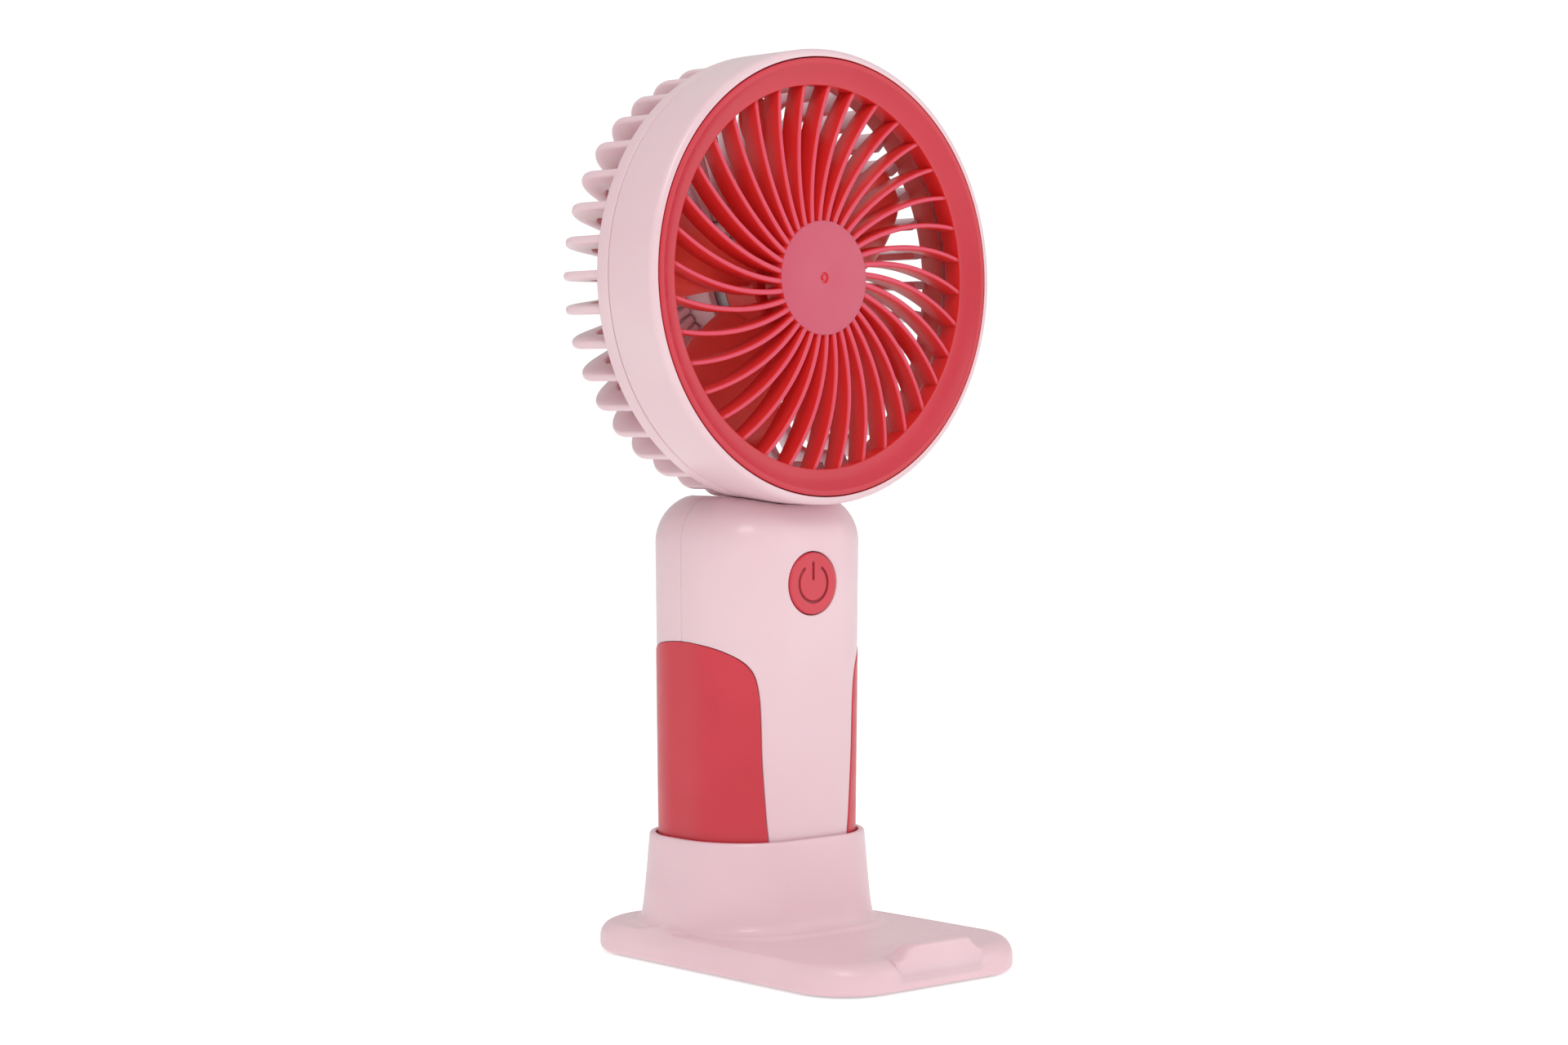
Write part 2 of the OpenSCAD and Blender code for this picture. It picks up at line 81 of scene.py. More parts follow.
def makePiece(name, patches, body, material, replaces, sharpAngle=32):
    # patches: (points[rows, cols, 3] in mm, rows join up, cols join up, blocks of cells left out);
    # repeated points are merged
    points, faces, start = [], [], 0
    for surface, wrapRows, wrapCols, *blocks in patches:
        rows, cols = surface.shape[:2]
        points.append(surface.reshape(-1, 3) * mm)
        grid = gridFaces(rows, cols, wrapRows, wrapCols)
        row, col = grid[:, 0] // cols, grid[:, 0] % cols
        for top, bottom, left, right in blocks:
            keep = (row < top) | (row >= bottom) | (col < left) | (col >= right)
            grid, row, col = grid[keep], row[keep], col[keep]
        faces.append(grid + start)
        start += rows * cols
    mesh = bpy.data.meshes.new(name)
    mesh.from_pydata(np.concatenate(points).tolist(), [], np.concatenate(faces).tolist())
    work = bmesh.new()
    work.from_mesh(mesh)
    bmesh.ops.remove_doubles(work, verts=work.verts, dist=0.002 * mm)
    bmesh.ops.recalc_face_normals(work, faces=work.faces)
    work.to_mesh(mesh)
    work.free()
    mesh.polygons.foreach_set("use_smooth", [True] * len(mesh.polygons))
    mesh.set_sharp_from_angle(angle=math.radians(sharpAngle))
    mesh.materials.append(material)
    piece = bpy.data.objects.new(name, mesh)
    bpy.context.scene.collection.objects.link(piece)
    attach(piece, body)
    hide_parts(*replaces)
    print("piece", name, len(mesh.polygons), "faces")
    return piece


def roundCorners(corners, steps=5):
    # closed outline with each corner (x, y, radius) swapped for an arc that touches both of its sides
    corners = np.array(corners, float)
    spot, radius = corners[:, :2], corners[:, 2]
    toPrev = np.roll(spot, 1, 0) - spot
    toNext = np.roll(spot, -1, 0) - spot
    toPrev /= np.linalg.norm(toPrev, axis=1)[:, None]
    toNext /= np.linalg.norm(toNext, axis=1)[:, None]
    half = np.arccos(np.clip((toPrev * toNext).sum(1), -1, 1)) / 2
    middle = toPrev + toNext
    middle /= np.linalg.norm(middle, axis=1)[:, None]
    centre = spot + middle * (radius / np.sin(half))[:, None]
    first = spot + toPrev * (radius / np.tan(half))[:, None] - centre
    side = np.sign(toPrev[:, 1] * toNext[:, 0] - toPrev[:, 0] * toNext[:, 1])
    turn = side[:, None] * (math.pi - 2 * half)[:, None] * np.linspace(0, 1, steps)[None, :]
    x = first[:, 0, None] * np.cos(turn) - first[:, 1, None] * np.sin(turn) + centre[:, 0, None]
    y = first[:, 0, None] * np.sin(turn) + first[:, 1, None] * np.cos(turn) + centre[:, 1, None]
    return np.stack([x, y], -1).reshape(-1, 2)


def headPoint(radius, angle, forward):
    # radius and angle round the head's axis, forward along it, to x, y, z
    radius, angle, forward = np.broadcast_arrays(radius, angle, forward)
    return np.stack([radius * np.cos(angle), -forward, headZ + radius * np.sin(angle)], -1)


def turned(profile, count=256):
    # a profile of (radius, forward) points turned once round the head's axis
    angle = np.linspace(0, tau, count, endpoint=False)
    return headPoint(profile[:, 0, None], angle[None, :], profile[:, 1, None])


def capped(tube):
    # closes both ends of a tube: its first and last rings are drawn in to their middles
    first = np.repeat(tube[:1].mean(1, keepdims=True), tube.shape[1], 1)
    last = np.repeat(tube[-1:].mean(1, keepdims=True), tube.shape[1], 1)
    return np.concatenate([first, tube, last])


def smoothStep(x):
    x = np.clip(x, 0, 1)
    return x * x * (3 - 2 * x)


def linear(red, green, blue):
    # a screen colour from 0 to 255, as the shader wants it
    c = np.array([red, green, blue]) / 255
    return tuple(np.where(c > 0.04045, ((c + 0.055) / 1.055) ** 2.4, c / 12.92)) + (1.0,)


def newGroup(name, inputs, outputs):
    group = bpy.data.node_groups.new(name, "ShaderNodeTree")
    for label, kind, default in inputs:
        socket = group.interface.new_socket(label, in_out="INPUT", socket_type="NodeSocket" + kind)
        if default is not None:
            socket.default_value = default
    for label, kind in outputs:
        group.interface.new_socket(label, in_out="OUTPUT", socket_type="NodeSocket" + kind)
    nodes = group.nodes
    return group, nodes.new("NodeGroupInput"), nodes.new("NodeGroupOutput")


def addNode(tree, kind, inputs=None, **settings):
    made = tree.nodes.new("ShaderNode" + kind)
    for key, value in settings.items():
        setattr(made, key, value)
    for key, value in (inputs or {}).items():
        if isinstance(value, bpy.types.NodeSocket):
            tree.links.new(value, made.inputs[key])
        else:
            made.inputs[key].default_value = value
    return made


def product(tree, first, second):
    return addNode(tree, "Math", {0: first, 1: second}, operation="MULTIPLY")


def mixed(tree, factor, base, over):
    # the colour over, laid on the colour base as far as the factor says
    mix = addNode(tree, "Mix", {"Factor": factor, "A": base, "B": over}, data_type="RGBA")
    return mix.outputs["Result"]


def mouldedSkinGroup():
    # moulded plastic: Tone is the slow colour drift of the resin, Grain the mould's spark texture,
    # Gloss the patchy polish, and Height what the bump reads
    group, given, out = newGroup("mouldedSkin",
        [("Vector", "Vector", None), ("Grain Size", "Float", 0.4), ("Drift Size", "Float", 30.0)],
        [("Tone", "Float"), ("Grain", "Float"), ("Gloss", "Float"), ("Height", "Float")])
    perMetre = addNode(group, "Math", {0: 1000.0, 1: given.outputs["Grain Size"]}, operation="DIVIDE")
    perDrift = addNode(group, "Math", {0: 1000.0, 1: given.outputs["Drift Size"]}, operation="DIVIDE")
    fine = addNode(group, "TexNoise", {"Vector": given.outputs["Vector"], "Scale": perMetre.outputs[0],
                                       "Detail": 3.0, "Roughness": 0.6})
    slow = addNode(group, "TexNoise", {"Vector": given.outputs["Vector"], "Scale": perDrift.outputs[0],
                                       "Detail": 2.0, "Roughness": 0.45, "Distortion": 0.6})
    patch = addNode(group, "TexNoise", {"Vector": given.outputs["Vector"], "Scale": 210.0,
                                        "Detail": 4.0, "Roughness": 0.55})
    gloss = addNode(group, "MapRange", {"Value": patch.outputs["Fac"], "From Min": 0.3, "From Max": 0.7})
    wave = addNode(group, "Math", {0: slow.outputs["Fac"], 1: 0.35, 2: fine.outputs["Fac"]},
                   operation="MULTIPLY_ADD")
    for label, source in (("Tone", slow.outputs["Fac"]), ("Grain", fine.outputs["Fac"]),
                          ("Gloss", gloss.outputs["Result"]), ("Height", wave.outputs[0])):
        group.links.new(source, out.inputs[label])
    return group


def fineDustGroup():
    # dust that settles on faces that look up: Mask is where, broken up by a speckle
    group, given, out = newGroup("fineDust", [("Vector", "Vector", None), ("Amount", "Float", 0.1)],
                                 [("Mask", "Float")])
    geometry = addNode(group, "NewGeometry")
    split = addNode(group, "SeparateXYZ", {0: geometry.outputs["Normal"]})
    up = addNode(group, "MapRange", {"Value": split.outputs["Z"], "From Min": 0.55, "From Max": 1.0})
    speck = addNode(group, "TexNoise", {"Vector": given.outputs["Vector"], "Scale": 900.0, "Detail": 5.0,
                                        "Roughness": 0.7})
    spread = addNode(group, "MapRange", {"Value": speck.outputs["Fac"], "From Min": 0.42, "From Max": 0.66})
    both = product(group, up.outputs["Result"], spread.outputs["Result"])
    scaled = product(group, both.outputs[0], given.outputs["Amount"])
    group.links.new(scaled.outputs[0], out.inputs["Mask"])
    return group


def brushedLinesGroup():
    # turned or drawn metal: fine lines across one direction, as a brightness and a height
    group, given, out = newGroup("brushedLines", [("Vector", "Vector", None), ("Stretch", "Vector", None)],
                                 [("Lines", "Float")])
    stretched = addNode(group, "VectorMath", {0: given.outputs["Vector"], 1: given.outputs["Stretch"]},
                        operation="MULTIPLY")
    lines = addNode(group, "TexNoise", {"Vector": stretched.outputs[0], "Scale": 1.0, "Detail": 6.0,
                                        "Roughness": 0.65})
    group.links.new(lines.outputs["Fac"], out.inputs["Lines"])
    return group


mouldedSkin = mouldedSkinGroup()
fineDust = fineDustGroup()
brushedLines = brushedLinesGroup()


def useGroup(tree, group, inputs):
    made = tree.nodes.new("ShaderNodeGroup")
    made.node_tree = group
    for key, value in inputs.items():
        if isinstance(value, bpy.types.NodeSocket):
            tree.links.new(value, made.inputs[key])
        else:
            made.inputs[key].default_value = value
    return made


def newMaterial(name):
    material = bpy.data.materials.new(name)
    material.use_nodes = True
    tree = material.node_tree
    shader = tree.nodes["Principled BSDF"]
    place = addNode(tree, "TexCoord")
    return material, tree, shader, place.outputs["Object"]


dustColour = linear(238, 232, 230)


def plastic(name, light, dark, rough=(0.3, 0.42), grain=0.35, bump=0.04, coat=0.0, subsurface=0.0,
            dust=0.0):
    # moulded plastic whose colour drifts between two close tones, with a fine mould grain
    material, tree, shader, spot = newMaterial(name)
    skin = useGroup(tree, mouldedSkin, {"Vector": spot, "Grain Size": grain, "Drift Size": 34.0})
    tone = addNode(tree, "MapRange", {"Value": skin.outputs["Tone"], "From Min": 0.3, "From Max": 0.7})
    colour = mixed(tree, tone.outputs["Result"], dark, light)
    settled = useGroup(tree, fineDust, {"Vector": spot, "Amount": dust})
    dusted = mixed(tree, settled.outputs["Mask"], colour, dustColour)
    polish = addNode(tree, "MapRange", {"Value": skin.outputs["Gloss"],
                                        "To Min": rough[0], "To Max": rough[1]})
    relief = addNode(tree, "Bump", {"Height": skin.outputs["Height"], "Strength": bump,
                                    "Distance": 0.2 * mm})
    tree.links.new(dusted, shader.inputs["Base Color"])
    tree.links.new(polish.outputs["Result"], shader.inputs["Roughness"])
    tree.links.new(relief.outputs["Normal"], shader.inputs["Normal"])
    shader.inputs["IOR"].default_value = 1.5
    shader.inputs["Coat Weight"].default_value = coat
    shader.inputs["Coat Roughness"].default_value = 0.12
    shader.inputs["Subsurface Weight"].default_value = subsurface
    shader.inputs["Subsurface Radius"].default_value = (1.0, 0.45, 0.4)
    shader.inputs["Subsurface Scale"].default_value = 0.002
    return material


def metal(name, light, dark, rough=(0.25, 0.4), stretch=(3000.0, 60.0, 3000.0)):
    # metal with fine lines that run along the axis with the smallest stretch
    material, tree, shader, spot = newMaterial(name)
    lines = useGroup(tree, brushedLines, {"Vector": spot, "Stretch": stretch})
    polish = addNode(tree, "MapRange", {"Value": lines.outputs["Lines"],
                                        "To Min": rough[0], "To Max": rough[1]})
    relief = addNode(tree, "Bump", {"Height": lines.outputs["Lines"], "Strength": 0.08,
                                    "Distance": 0.1 * mm})
    tree.links.new(mixed(tree, lines.outputs["Lines"], dark, light), shader.inputs["Base Color"])
    tree.links.new(polish.outputs["Result"], shader.inputs["Roughness"])
    tree.links.new(relief.outputs["Normal"], shader.inputs["Normal"])
    shader.inputs["Metallic"].default_value = 1.0
    return material


def blend(material, factor, colour):
    # lays a colour over what the material has so far
    tree = material.node_tree
    shader = tree.nodes["Principled BSDF"]
    soFar = shader.inputs["Base Color"].links[0].from_socket
    tree.links.new(mixed(tree, factor, soFar, colour), shader.inputs["Base Color"])


pinkTones = linear(238, 208, 213), linear(234, 200, 207)
pinkFinish = {"rough": (0.3, 0.4), "coat": 0.25, "subsurface": 0.12, "dust": 0.05}
pinkPlastic = plastic("pinkPlastic", *pinkTones, **pinkFinish)
# ringPlastic and rearPlastic copy the pink so that they can carry painted reflection of the grille's red on
# their inward faces
ringPlastic = plastic("ringPlastic", *pinkTones, **pinkFinish)
rearPlastic = plastic("rearPlastic", *pinkTones, **pinkFinish)
basePlastic = plastic("basePlastic", linear(238, 205, 211), linear(234, 197, 205), rough=(0.32, 0.42),
                      coat=0.2, subsurface=0.12, dust=0.04)
coralPlastic = plastic("coralPlastic", linear(209, 48, 64), linear(201, 41, 57), rough=(0.34, 0.44),
                       coat=0.15, subsurface=0.08, dust=0.03)
grillePlastic = plastic("grillePlastic", linear(208, 52, 68), linear(201, 44, 60), rough=(0.36, 0.46),
                        coat=0.1, subsurface=0.1)
impellerPlastic = plastic("impellerPlastic", linear(236, 84, 74), linear(228, 74, 66), rough=(0.34, 0.44),
                          subsurface=0.4)


def headPlaceGroup():
    # where a point of the head is: Radius from the head's axis in mm, Front for what faces forward,
    # Rest for what doesn't, and Inward for what faces the axis
    group, given, out = newGroup("headPlace", [("Vector", "Vector", None), ("Normal", "Vector", None)],
                                 [(label, "Float") for label in ("Radius", "Front", "Rest", "Inward")])
    middle = addNode(group, "VectorMath", {0: given.outputs["Vector"], 1: (0, 0, headZ * mm)},
                     operation="SUBTRACT")
    flat = addNode(group, "VectorMath", {0: middle.outputs[0], 1: (1 / mm, 0, 1 / mm)},
                   operation="MULTIPLY")
    radius = addNode(group, "VectorMath", {0: flat.outputs[0]}, operation="LENGTH")
    split = addNode(group, "SeparateXYZ", {0: given.outputs["Normal"]})
    front = addNode(group, "MapRange", {"Value": split.outputs["Y"], "From Min": -0.45, "From Max": -0.92})
    rest = addNode(group, "Math", {0: 1.0, 1: front.outputs["Result"]}, operation="SUBTRACT")
    outward = addNode(group, "VectorMath", {0: flat.outputs[0]}, operation="NORMALIZE")
    along = addNode(group, "VectorMath", {0: outward.outputs[0], 1: given.outputs["Normal"]},
                    operation="DOT_PRODUCT")
    inward = addNode(group, "MapRange", {"Value": along.outputs["Value"],
                                         "From Min": -0.5, "From Max": -0.9})
    for label, source in (("Radius", radius.outputs["Value"]), ("Front", front.outputs["Result"]),
                          ("Rest", rest.outputs[0]), ("Inward", inward.outputs["Result"])):
        group.links.new(source, out.inputs[label])
    return group


headPlace = headPlaceGroup()


def paintHeadLight(material, radii, colour, facing):
    # lays a colour over a head material between two radii, on what faces one way; used for painted shade,
    # painted highlight and painted reflection
    tree = material.node_tree
    place = next(node for node in tree.nodes if node.type == "TEX_COORD")
    spot = useGroup(tree, headPlace, {"Vector": place.outputs["Object"], "Normal": place.outputs["Normal"]})
    sides = []
    for radius, before, after in ((radii[0], 0, 1), (radii[1], 1, 0)):
        edge = addNode(tree, "MapRange", {"Value": spot.outputs["Radius"], "From Min": radius - 0.15,
                                          "From Max": radius + 0.15, "To Min": before, "To Max": after})
        sides.append(edge.outputs["Result"])
    inside = product(tree, *sides)
    blend(material, product(tree, inside.outputs[0], spot.outputs[facing]).outputs[0], colour)


# painted light on the head: painted shade in deep red on the grille's walls, painted highlight on the rib front
# edges and hub face, and painted reflection of the red that the grille throws on the walls behind it
bezelEdge, ribEnd, hubEdge = 43.5, 41.6, 13
# painted shade: deep red on every grille face within the bezel that doesn't face forward
paintHeadLight(grillePlastic, (0, bezelEdge), linear(228, 46, 46), "Rest")
# painted highlight: lighter pink on the ribs' forward-facing edges
paintHeadLight(grillePlastic, (hubEdge, ribEnd), linear(222, 74, 100), "Front")
# painted reflection: lighter pink on the hub's forward-facing face
paintHeadLight(grillePlastic, (0, hubEdge), linear(206, 84, 108), "Front")
# painted reflection: red bounce from the grille on the front ring's inward-facing wall
paintHeadLight(ringPlastic, (40, headR - 1.5), linear(228, 92, 86), "Inward")
# painted reflection: red bounce from the grille on the rear grille's inward-facing faces
paintHeadLight(rearPlastic, (30, 47.4), linear(230, 110, 102), "Inward")


def buttonMaterial():
    # the grip's plastic, with painted shade: darker in the bottom of the engraved symbol
    material = plastic("buttonPlastic", linear(214, 60, 76), linear(207, 52, 68), rough=(0.32, 0.42),
                       coat=0.15, subsurface=0.06)
    engraved = addNode(material.node_tree, "Attribute", attribute_name="engraving")
    blend(material, engraved.outputs["Fac"], linear(150, 22, 38))
    return material


buttonPlastic = buttonMaterial()
print("materials ready")


ringShape = {"wall": 2.0, "edge": 1.5, "pocketR": bezelR + 0.25, "pocketFloor": 20.3, "ledge": 1.5,
             "ledgeR": headR - 4, "seamEdge": 0.28}


def frontRing(s):
    # a profile turned round the head's axis: outer wall, pocket for the grille, ledge and inner wall
    inner = headR - s["wall"]
    profile = roundCorners([
        (headR, seamAt, s["seamEdge"]), (headR, ringFront, s["edge"]), (s["pocketR"], ringFront, 0.15),
        (s["pocketR"], s["pocketFloor"], 0.1), (s["ledgeR"], s["pocketFloor"], 0.3),
        (s["ledgeR"], s["pocketFloor"] - s["ledge"], 0.3), (inner, s["pocketFloor"] - s["ledge"], 0.4),
        (inner, seamAt, 0.2)], 7)
    return [(turned(profile), True, True)]


grilleShape = {"innerR": 42.2, "dish": 2.2, "sag": 0.45, "rim": 1.1, "depth": 5.0, "seat": 20.5,
               "hubR": 12.65, "hubBack": 1.7, "hubWall": 1.5, "hubPlate": 1.9, "ribs": 36, "sweep": 18.5,
               "phase": 5.0, "ribW": 1.25, "ribTipW": 1.1, "bulge": 0.6}


def bezelAndHub(s):
    # two profiles turned round the head's axis, the hub's with a ring sunk at its middle; the dish falls
    # from the rim to the inner edge along a shallow hollow curve
    back = bezelFront - s["dish"] - s["depth"]
    t = np.linspace(0, 1, 14)[1:-1]
    dish = np.stack([bezelR - s["rim"] + (s["innerR"] - bezelR + s["rim"]) * t,
                     bezelFront - s["dish"] * t - s["sag"] * np.sin(math.pi * t)], 1)
    rim = roundCorners([
        (s["innerR"], bezelFront - s["dish"], 0.25), (s["innerR"] + 0.15, back, 0.2),
        (s["innerR"] + 2, back, 0.3), (s["innerR"] + 3, s["seat"], 0.3), (bezelR, s["seat"], 0.2),
        (bezelR, bezelFront, 0.35), (bezelR - s["rim"], bezelFront, 0.3)], 6)
    top = bezelFront - s["hubBack"]
    hubR, hubIn = s["hubR"], s["hubR"] - s["hubWall"]
    hub = np.array([
        (0, top - 0.05), (0.4, top - 0.1), (0.6, top - 0.5), (1.0, top - 0.5), (1.25, top - 0.04),
        (1.5, top), (6, top), (hubR - 0.4, top), (hubR - 0.12, top - 0.1), (hubR, top - 0.4), (hubR, back),
        (hubIn, back), (hubIn, top - s["hubPlate"]), (0, top - s["hubPlate"])])
    return [(turned(np.concatenate([rim, dish])), True, True), (turned(hub, 128), False, True)]


def sweptRibs(s):
    # a rib's middle turns in proportion to its distance from the hub; its front edge is round
    u = np.linspace(0, 1, 30)[:, None]
    radius = s["hubR"] - 0.6 + (s["innerR"] - s["hubR"] + 1.5) * u
    front = bezelFront - s["hubBack"] - (s["dish"] - s["hubBack"]) * u + s["bulge"] * np.sin(math.pi * u)
    front = front - 0.12                              # a little in from the bezel's front and back
    back = bezelFront - s["dish"] - s["depth"] + 0.1
    halfWidth = (s["ribW"] + (s["ribTipW"] - s["ribW"]) * u) / 2
    bend = np.linspace(0, math.pi, 9)
    # round the rib: a back corner, up one side, over the round front edge, and down the other side
    side = np.concatenate([[0.86, 0.96], np.cos(bend), [-0.96, -0.86]])[None, :]
    drop = np.concatenate([[0, 0.1], [0] * 9, [0.1, 0]])[None, :]
    atFront = np.concatenate([[0, 0], [1] * 9, [0, 0]])[None, :]
    crown = np.concatenate([[0, 0], np.sin(bend), [0, 0]])[None, :]
    forward = back + drop + (front - back) * atFront - 0.5 * (1 - crown) * atFront
    patches = []
    for i in range(s["ribs"]):
        angle = math.radians(s["phase"] + 360 * i / s["ribs"]) - math.radians(s["sweep"]) * u
        rib = headPoint(radius, angle + side * halfWidth / radius, forward)
        patches.append((capped(rib), False, True))
    return patches


rearShape = {"fins": 40, "thick": 1.9, "outerR": headR - 0.9, "rootAt": 6.4, "backAt": -13.0,
             "bend": 8.5, "bendLess": 4.2, "legDepth": 6.0, "backDepth": 4.8, "innerR": 14.6,
             "ringBack": 5.0, "ringWall": 2.2, "spigotR": 46.3, "spigotUp": 2.8,
             "seamGap": 0.3, "cupR": 14.0, "cupIn": 12.15, "cupFront": -1.0,
             "hubR": 16.0}


def rearRing(s):
    # a profile turned round the head's axis, with a spigot that goes up inside the front ring
    rim, wall = seamAt - s["seamGap"], headR - s["ringWall"]
    profile = roundCorners([
        (headR, s["ringBack"], 0.9), (headR, rim, 0.28), (wall, rim, 0.1), (wall, seamAt + s["spigotUp"], 0.2),
        (s["spigotR"], seamAt + s["spigotUp"], 0.2), (s["spigotR"], s["ringBack"], 0.9)], 6)
    return [(turned(profile), True, True)]


def rearFins(s):
    # each fin is a plate with round edges: it leaves the ring, bends through a quarter circle and runs in
    angle = -np.linspace(0, 1, 12) * math.pi / 2

    def edgeLine(legR, backAt, bendR):
        leg = [(legR, s["rootAt"]), (legR, 3.0), (legR - 0.05, 0)]
        bend = np.stack([legR - bendR + bendR * np.cos(angle), backAt + bendR + bendR * np.sin(angle)], 1)
        return np.concatenate([leg, bend, [(r, backAt) for r in (34, 26, 20, s["innerR"])]])

    outer = edgeLine(s["outerR"], s["backAt"], s["bend"])
    inner = edgeLine(s["outerR"] - s["legDepth"], s["backAt"] + s["backDepth"], s["bend"] - s["bendLess"])
    middle, half = (outer + inner) / 2, (outer - inner) / 2
    reach = np.linalg.norm(half, axis=1)[:, None]
    across = s["thick"] / 2
    turn = np.linspace(0, tau, 20, endpoint=False)[None, :]
    edge = 0.85 * across                             # radius of the round edges
    depth = np.sign(np.cos(turn)) * (reach - edge) + edge * np.cos(turn)
    width = np.sign(np.sin(turn) + 1e-9) * (across - edge) + edge * np.sin(turn)
    line = middle[:, None, :] + half[:, None, :] * (depth / reach)[:, :, None]
    patches = []
    for i in range(s["fins"]):
        a = tau * i / s["fins"]
        spot = headPoint(line[:, :, 0], a, line[:, :, 1])
        sideways = np.array([-math.sin(a), 0, math.cos(a)])
        patches.append((capped(spot + width[:, :, None] * sideways), False, True))
    return patches


def motorCup(s):
    # a profile turned round the head's axis: a disc with a round groove at the back, then the motor's cup
    back, cup = s["backAt"], s["cupFront"]
    face, groove, floor = back - 0.2, back + 0.3, back + 1.8
    profile = np.array([
        (0, face), (3.5, face), (4.1, groove), (10.5, groove), (11.1, face), (s["hubR"] - 0.7, face),
        (s["hubR"] - 0.2, back), (s["hubR"], back + 0.5), (s["hubR"], floor), (s["cupR"], back + 2.4),
        (s["cupR"], cup - 0.3), (s["cupR"] - 0.3, cup), (s["cupIn"], cup), (s["cupIn"], floor), (0, floor)])
    return [(turned(profile, 128), False, True)]


neckShape = {"half": 8.0, "front": -9.0, "back": 3.0, "corner": 2.0, "footHalf": 11.0, "footFront": -7.5,
             "footBack": 1.5, "footCorner": 1.5, "down": 8.0, "footUp": 5.6}


def neckBlock(s):
    # a stub with round corners that drops from the ring into the handle, with a foot that the halves hold
    def outlineOf(half, front, back, corner):
        return roundCorners([(-half, front, corner), (half, front, corner), (half, back, corner),
                             (-half, back, corner)], 6)

    plan = outlineOf(s["half"], s["front"], s["back"], s["corner"])
    foot = outlineOf(s["footHalf"], s["footFront"], s["footBack"], s["footCorner"])
    top = headZ - headR
    levels = [(foot, top - s["down"]), (foot, top - s["footUp"]), (plan, top - s["footUp"] + 0.2),
              (plan, top - 1), (plan, top + 1.6)]
    rows = np.stack([np.column_stack([outline, np.full(len(outline), z)]) for outline, z in levels])
    sag = np.sqrt(np.maximum(headR ** 2 - rows[-1, :, 0] ** 2, 0))
    rows[-1, :, 2] = headZ - sag + 1.2
    return [(capped(rows), False, True)]


makePiece("frontRing", frontRing(ringShape), "fan", ringPlastic, ["front_ring"])
makePiece("frontGrille", bezelAndHub(grilleShape) + sweptRibs(grilleShape), "fan", grillePlastic,
          ["front_grille"])
makePiece("rearGrille", rearRing(rearShape) + rearFins(rearShape) + motorCup(rearShape)
          + neckBlock(neckShape), "fan", rearPlastic, ["rear_grille"])


bladeShape = {"blades": 5, "hubR": 12.8, "tipR": 40.8, "rootPitch": 44, "tipPitch": 27, "rootChord": 15.0,
              "tipChord": 27.0, "camber": 1.9, "thick": 1.3, "middleAt": 6.2, "lean": 8.0, "phase": 20.0}


def impellerHub(s):
    # a profile turned round the head's axis: a cap with a boss for the shaft inside
    r, wall = s["hubR"], s["hubR"] - 1.6
    profile = np.array([
        (0, 14), (2.5, 14), (3, 13.7), (r - 2.4, 13.7), (r - 0.8, 13.5), (r - 0.2, 13), (r, 12.2), (r, 3.8),
        (r - 0.2, 3.6), (r - 1.4, 3.6), (wall, 3.8), (wall, 12.2), (3, 12.2), (3, 5), (1, 5), (1, 12), (0, 12)])
    return [(turned(profile, 128), False, True)]


def impellerBlades(s):
    # across a blade the surface is an arch; along it the pitch eases and the chord swells to a round tip
    across = np.linspace(-1, 1, 30)[None, :]
    along = np.linspace(0, 1, 34)[:, None]
    radius = s["hubR"] - 0.5 + (s["tipR"] - s["hubR"] + 0.5) * along
    pitch = np.radians(s["rootPitch"] + (s["tipPitch"] - s["rootPitch"]) * along)
    swell = np.interp(along, [0, 0.35, 0.75, 1], [0, 0.6, 1, 0.96])
    chord = s["rootChord"] + (s["tipChord"] - s["rootChord"]) * swell
    tipRound = np.sqrt(np.maximum(1 - np.clip((along - 0.78) / 0.22, 0, 1) ** 2.2, 0.004))
    halfChord = chord / 2 * tipRound
    arch = s["camber"] * (1 - across ** 2)
    lean = np.radians(s["lean"]) * along ** 1.5
    thin = s["thick"] / 2 * np.sqrt(np.clip(1 - across ** 4, 0.0, 1))
    patches = []
    for i in range(s["blades"]):
        base = math.radians(s["phase"]) + tau * i / s["blades"]
        sides = []
        for face in (1, -1):
            chordwise = across * halfChord
            offset = arch + face * thin * np.clip(tipRound * 1.6, 0, 1)
            sideways = chordwise * np.cos(pitch) - offset * np.sin(pitch)
            forward = s["middleAt"] + chordwise * np.sin(pitch) + offset * np.cos(pitch)
            reach = np.minimum(radius + 0 * sideways, s["tipR"])
            sides.append(headPoint(reach, base + lean + sideways / radius, forward))
        skin = np.concatenate([sides[0], sides[1][:, ::-1]], 1)
        patches.append((capped(skin), False, True))
    return patches


makePiece("impellerWheel", impellerHub(bladeShape) + impellerBlades(bladeShape), "rotor", impellerPlastic,
          ["impeller"])


handleShape = {"corner": 16.0, "taper": 0.9, "bottomEdge": 1.0, "shoulder": 11.0, "wall": 2.4, "ceiling": 99.4,
               "saddleR": headR + 0.15, "saddleUp": 2.2, "recess": 1.25, "proud": 0.15, "gripThick": 1.2,
               "gap": 0.1, "edge": 0.35, "holeEdge": 0.3, "buttonR": 6.9, "buttonGap": 0.25, "mouthX": 8.2,
               "mouthFront": 9.2, "mouthBack": 3.2, "slotHalf": (4.8, 1.9)}
flatX = halfW - handleShape["corner"]
flatY = halfD - handleShape["corner"]
topZ = headZ - headR + handleShape["saddleUp"]
shoulderZ = topZ - handleShape["shoulder"]
# distance round the section from the front's middle to the side's parting line
quarter = flatX + handleShape["corner"] * math.pi / 2 + flatY
# the grip's edge: distance round the handle from the front's middle, at each height
gripEdge = np.array([
    (11.6, 0), (11.8, 24), (12.6, 33), (13.6, 45), (14.0, 56), (14.5, 61), (15.4, 64.4), (16.9, 66.6),
    (19.2, 68.3), (22.8, 69.9), (26.6, 70.9), (31.0, 71.5), (quarter, 71.7)])
gripTop = gripEdge[-1, 1]


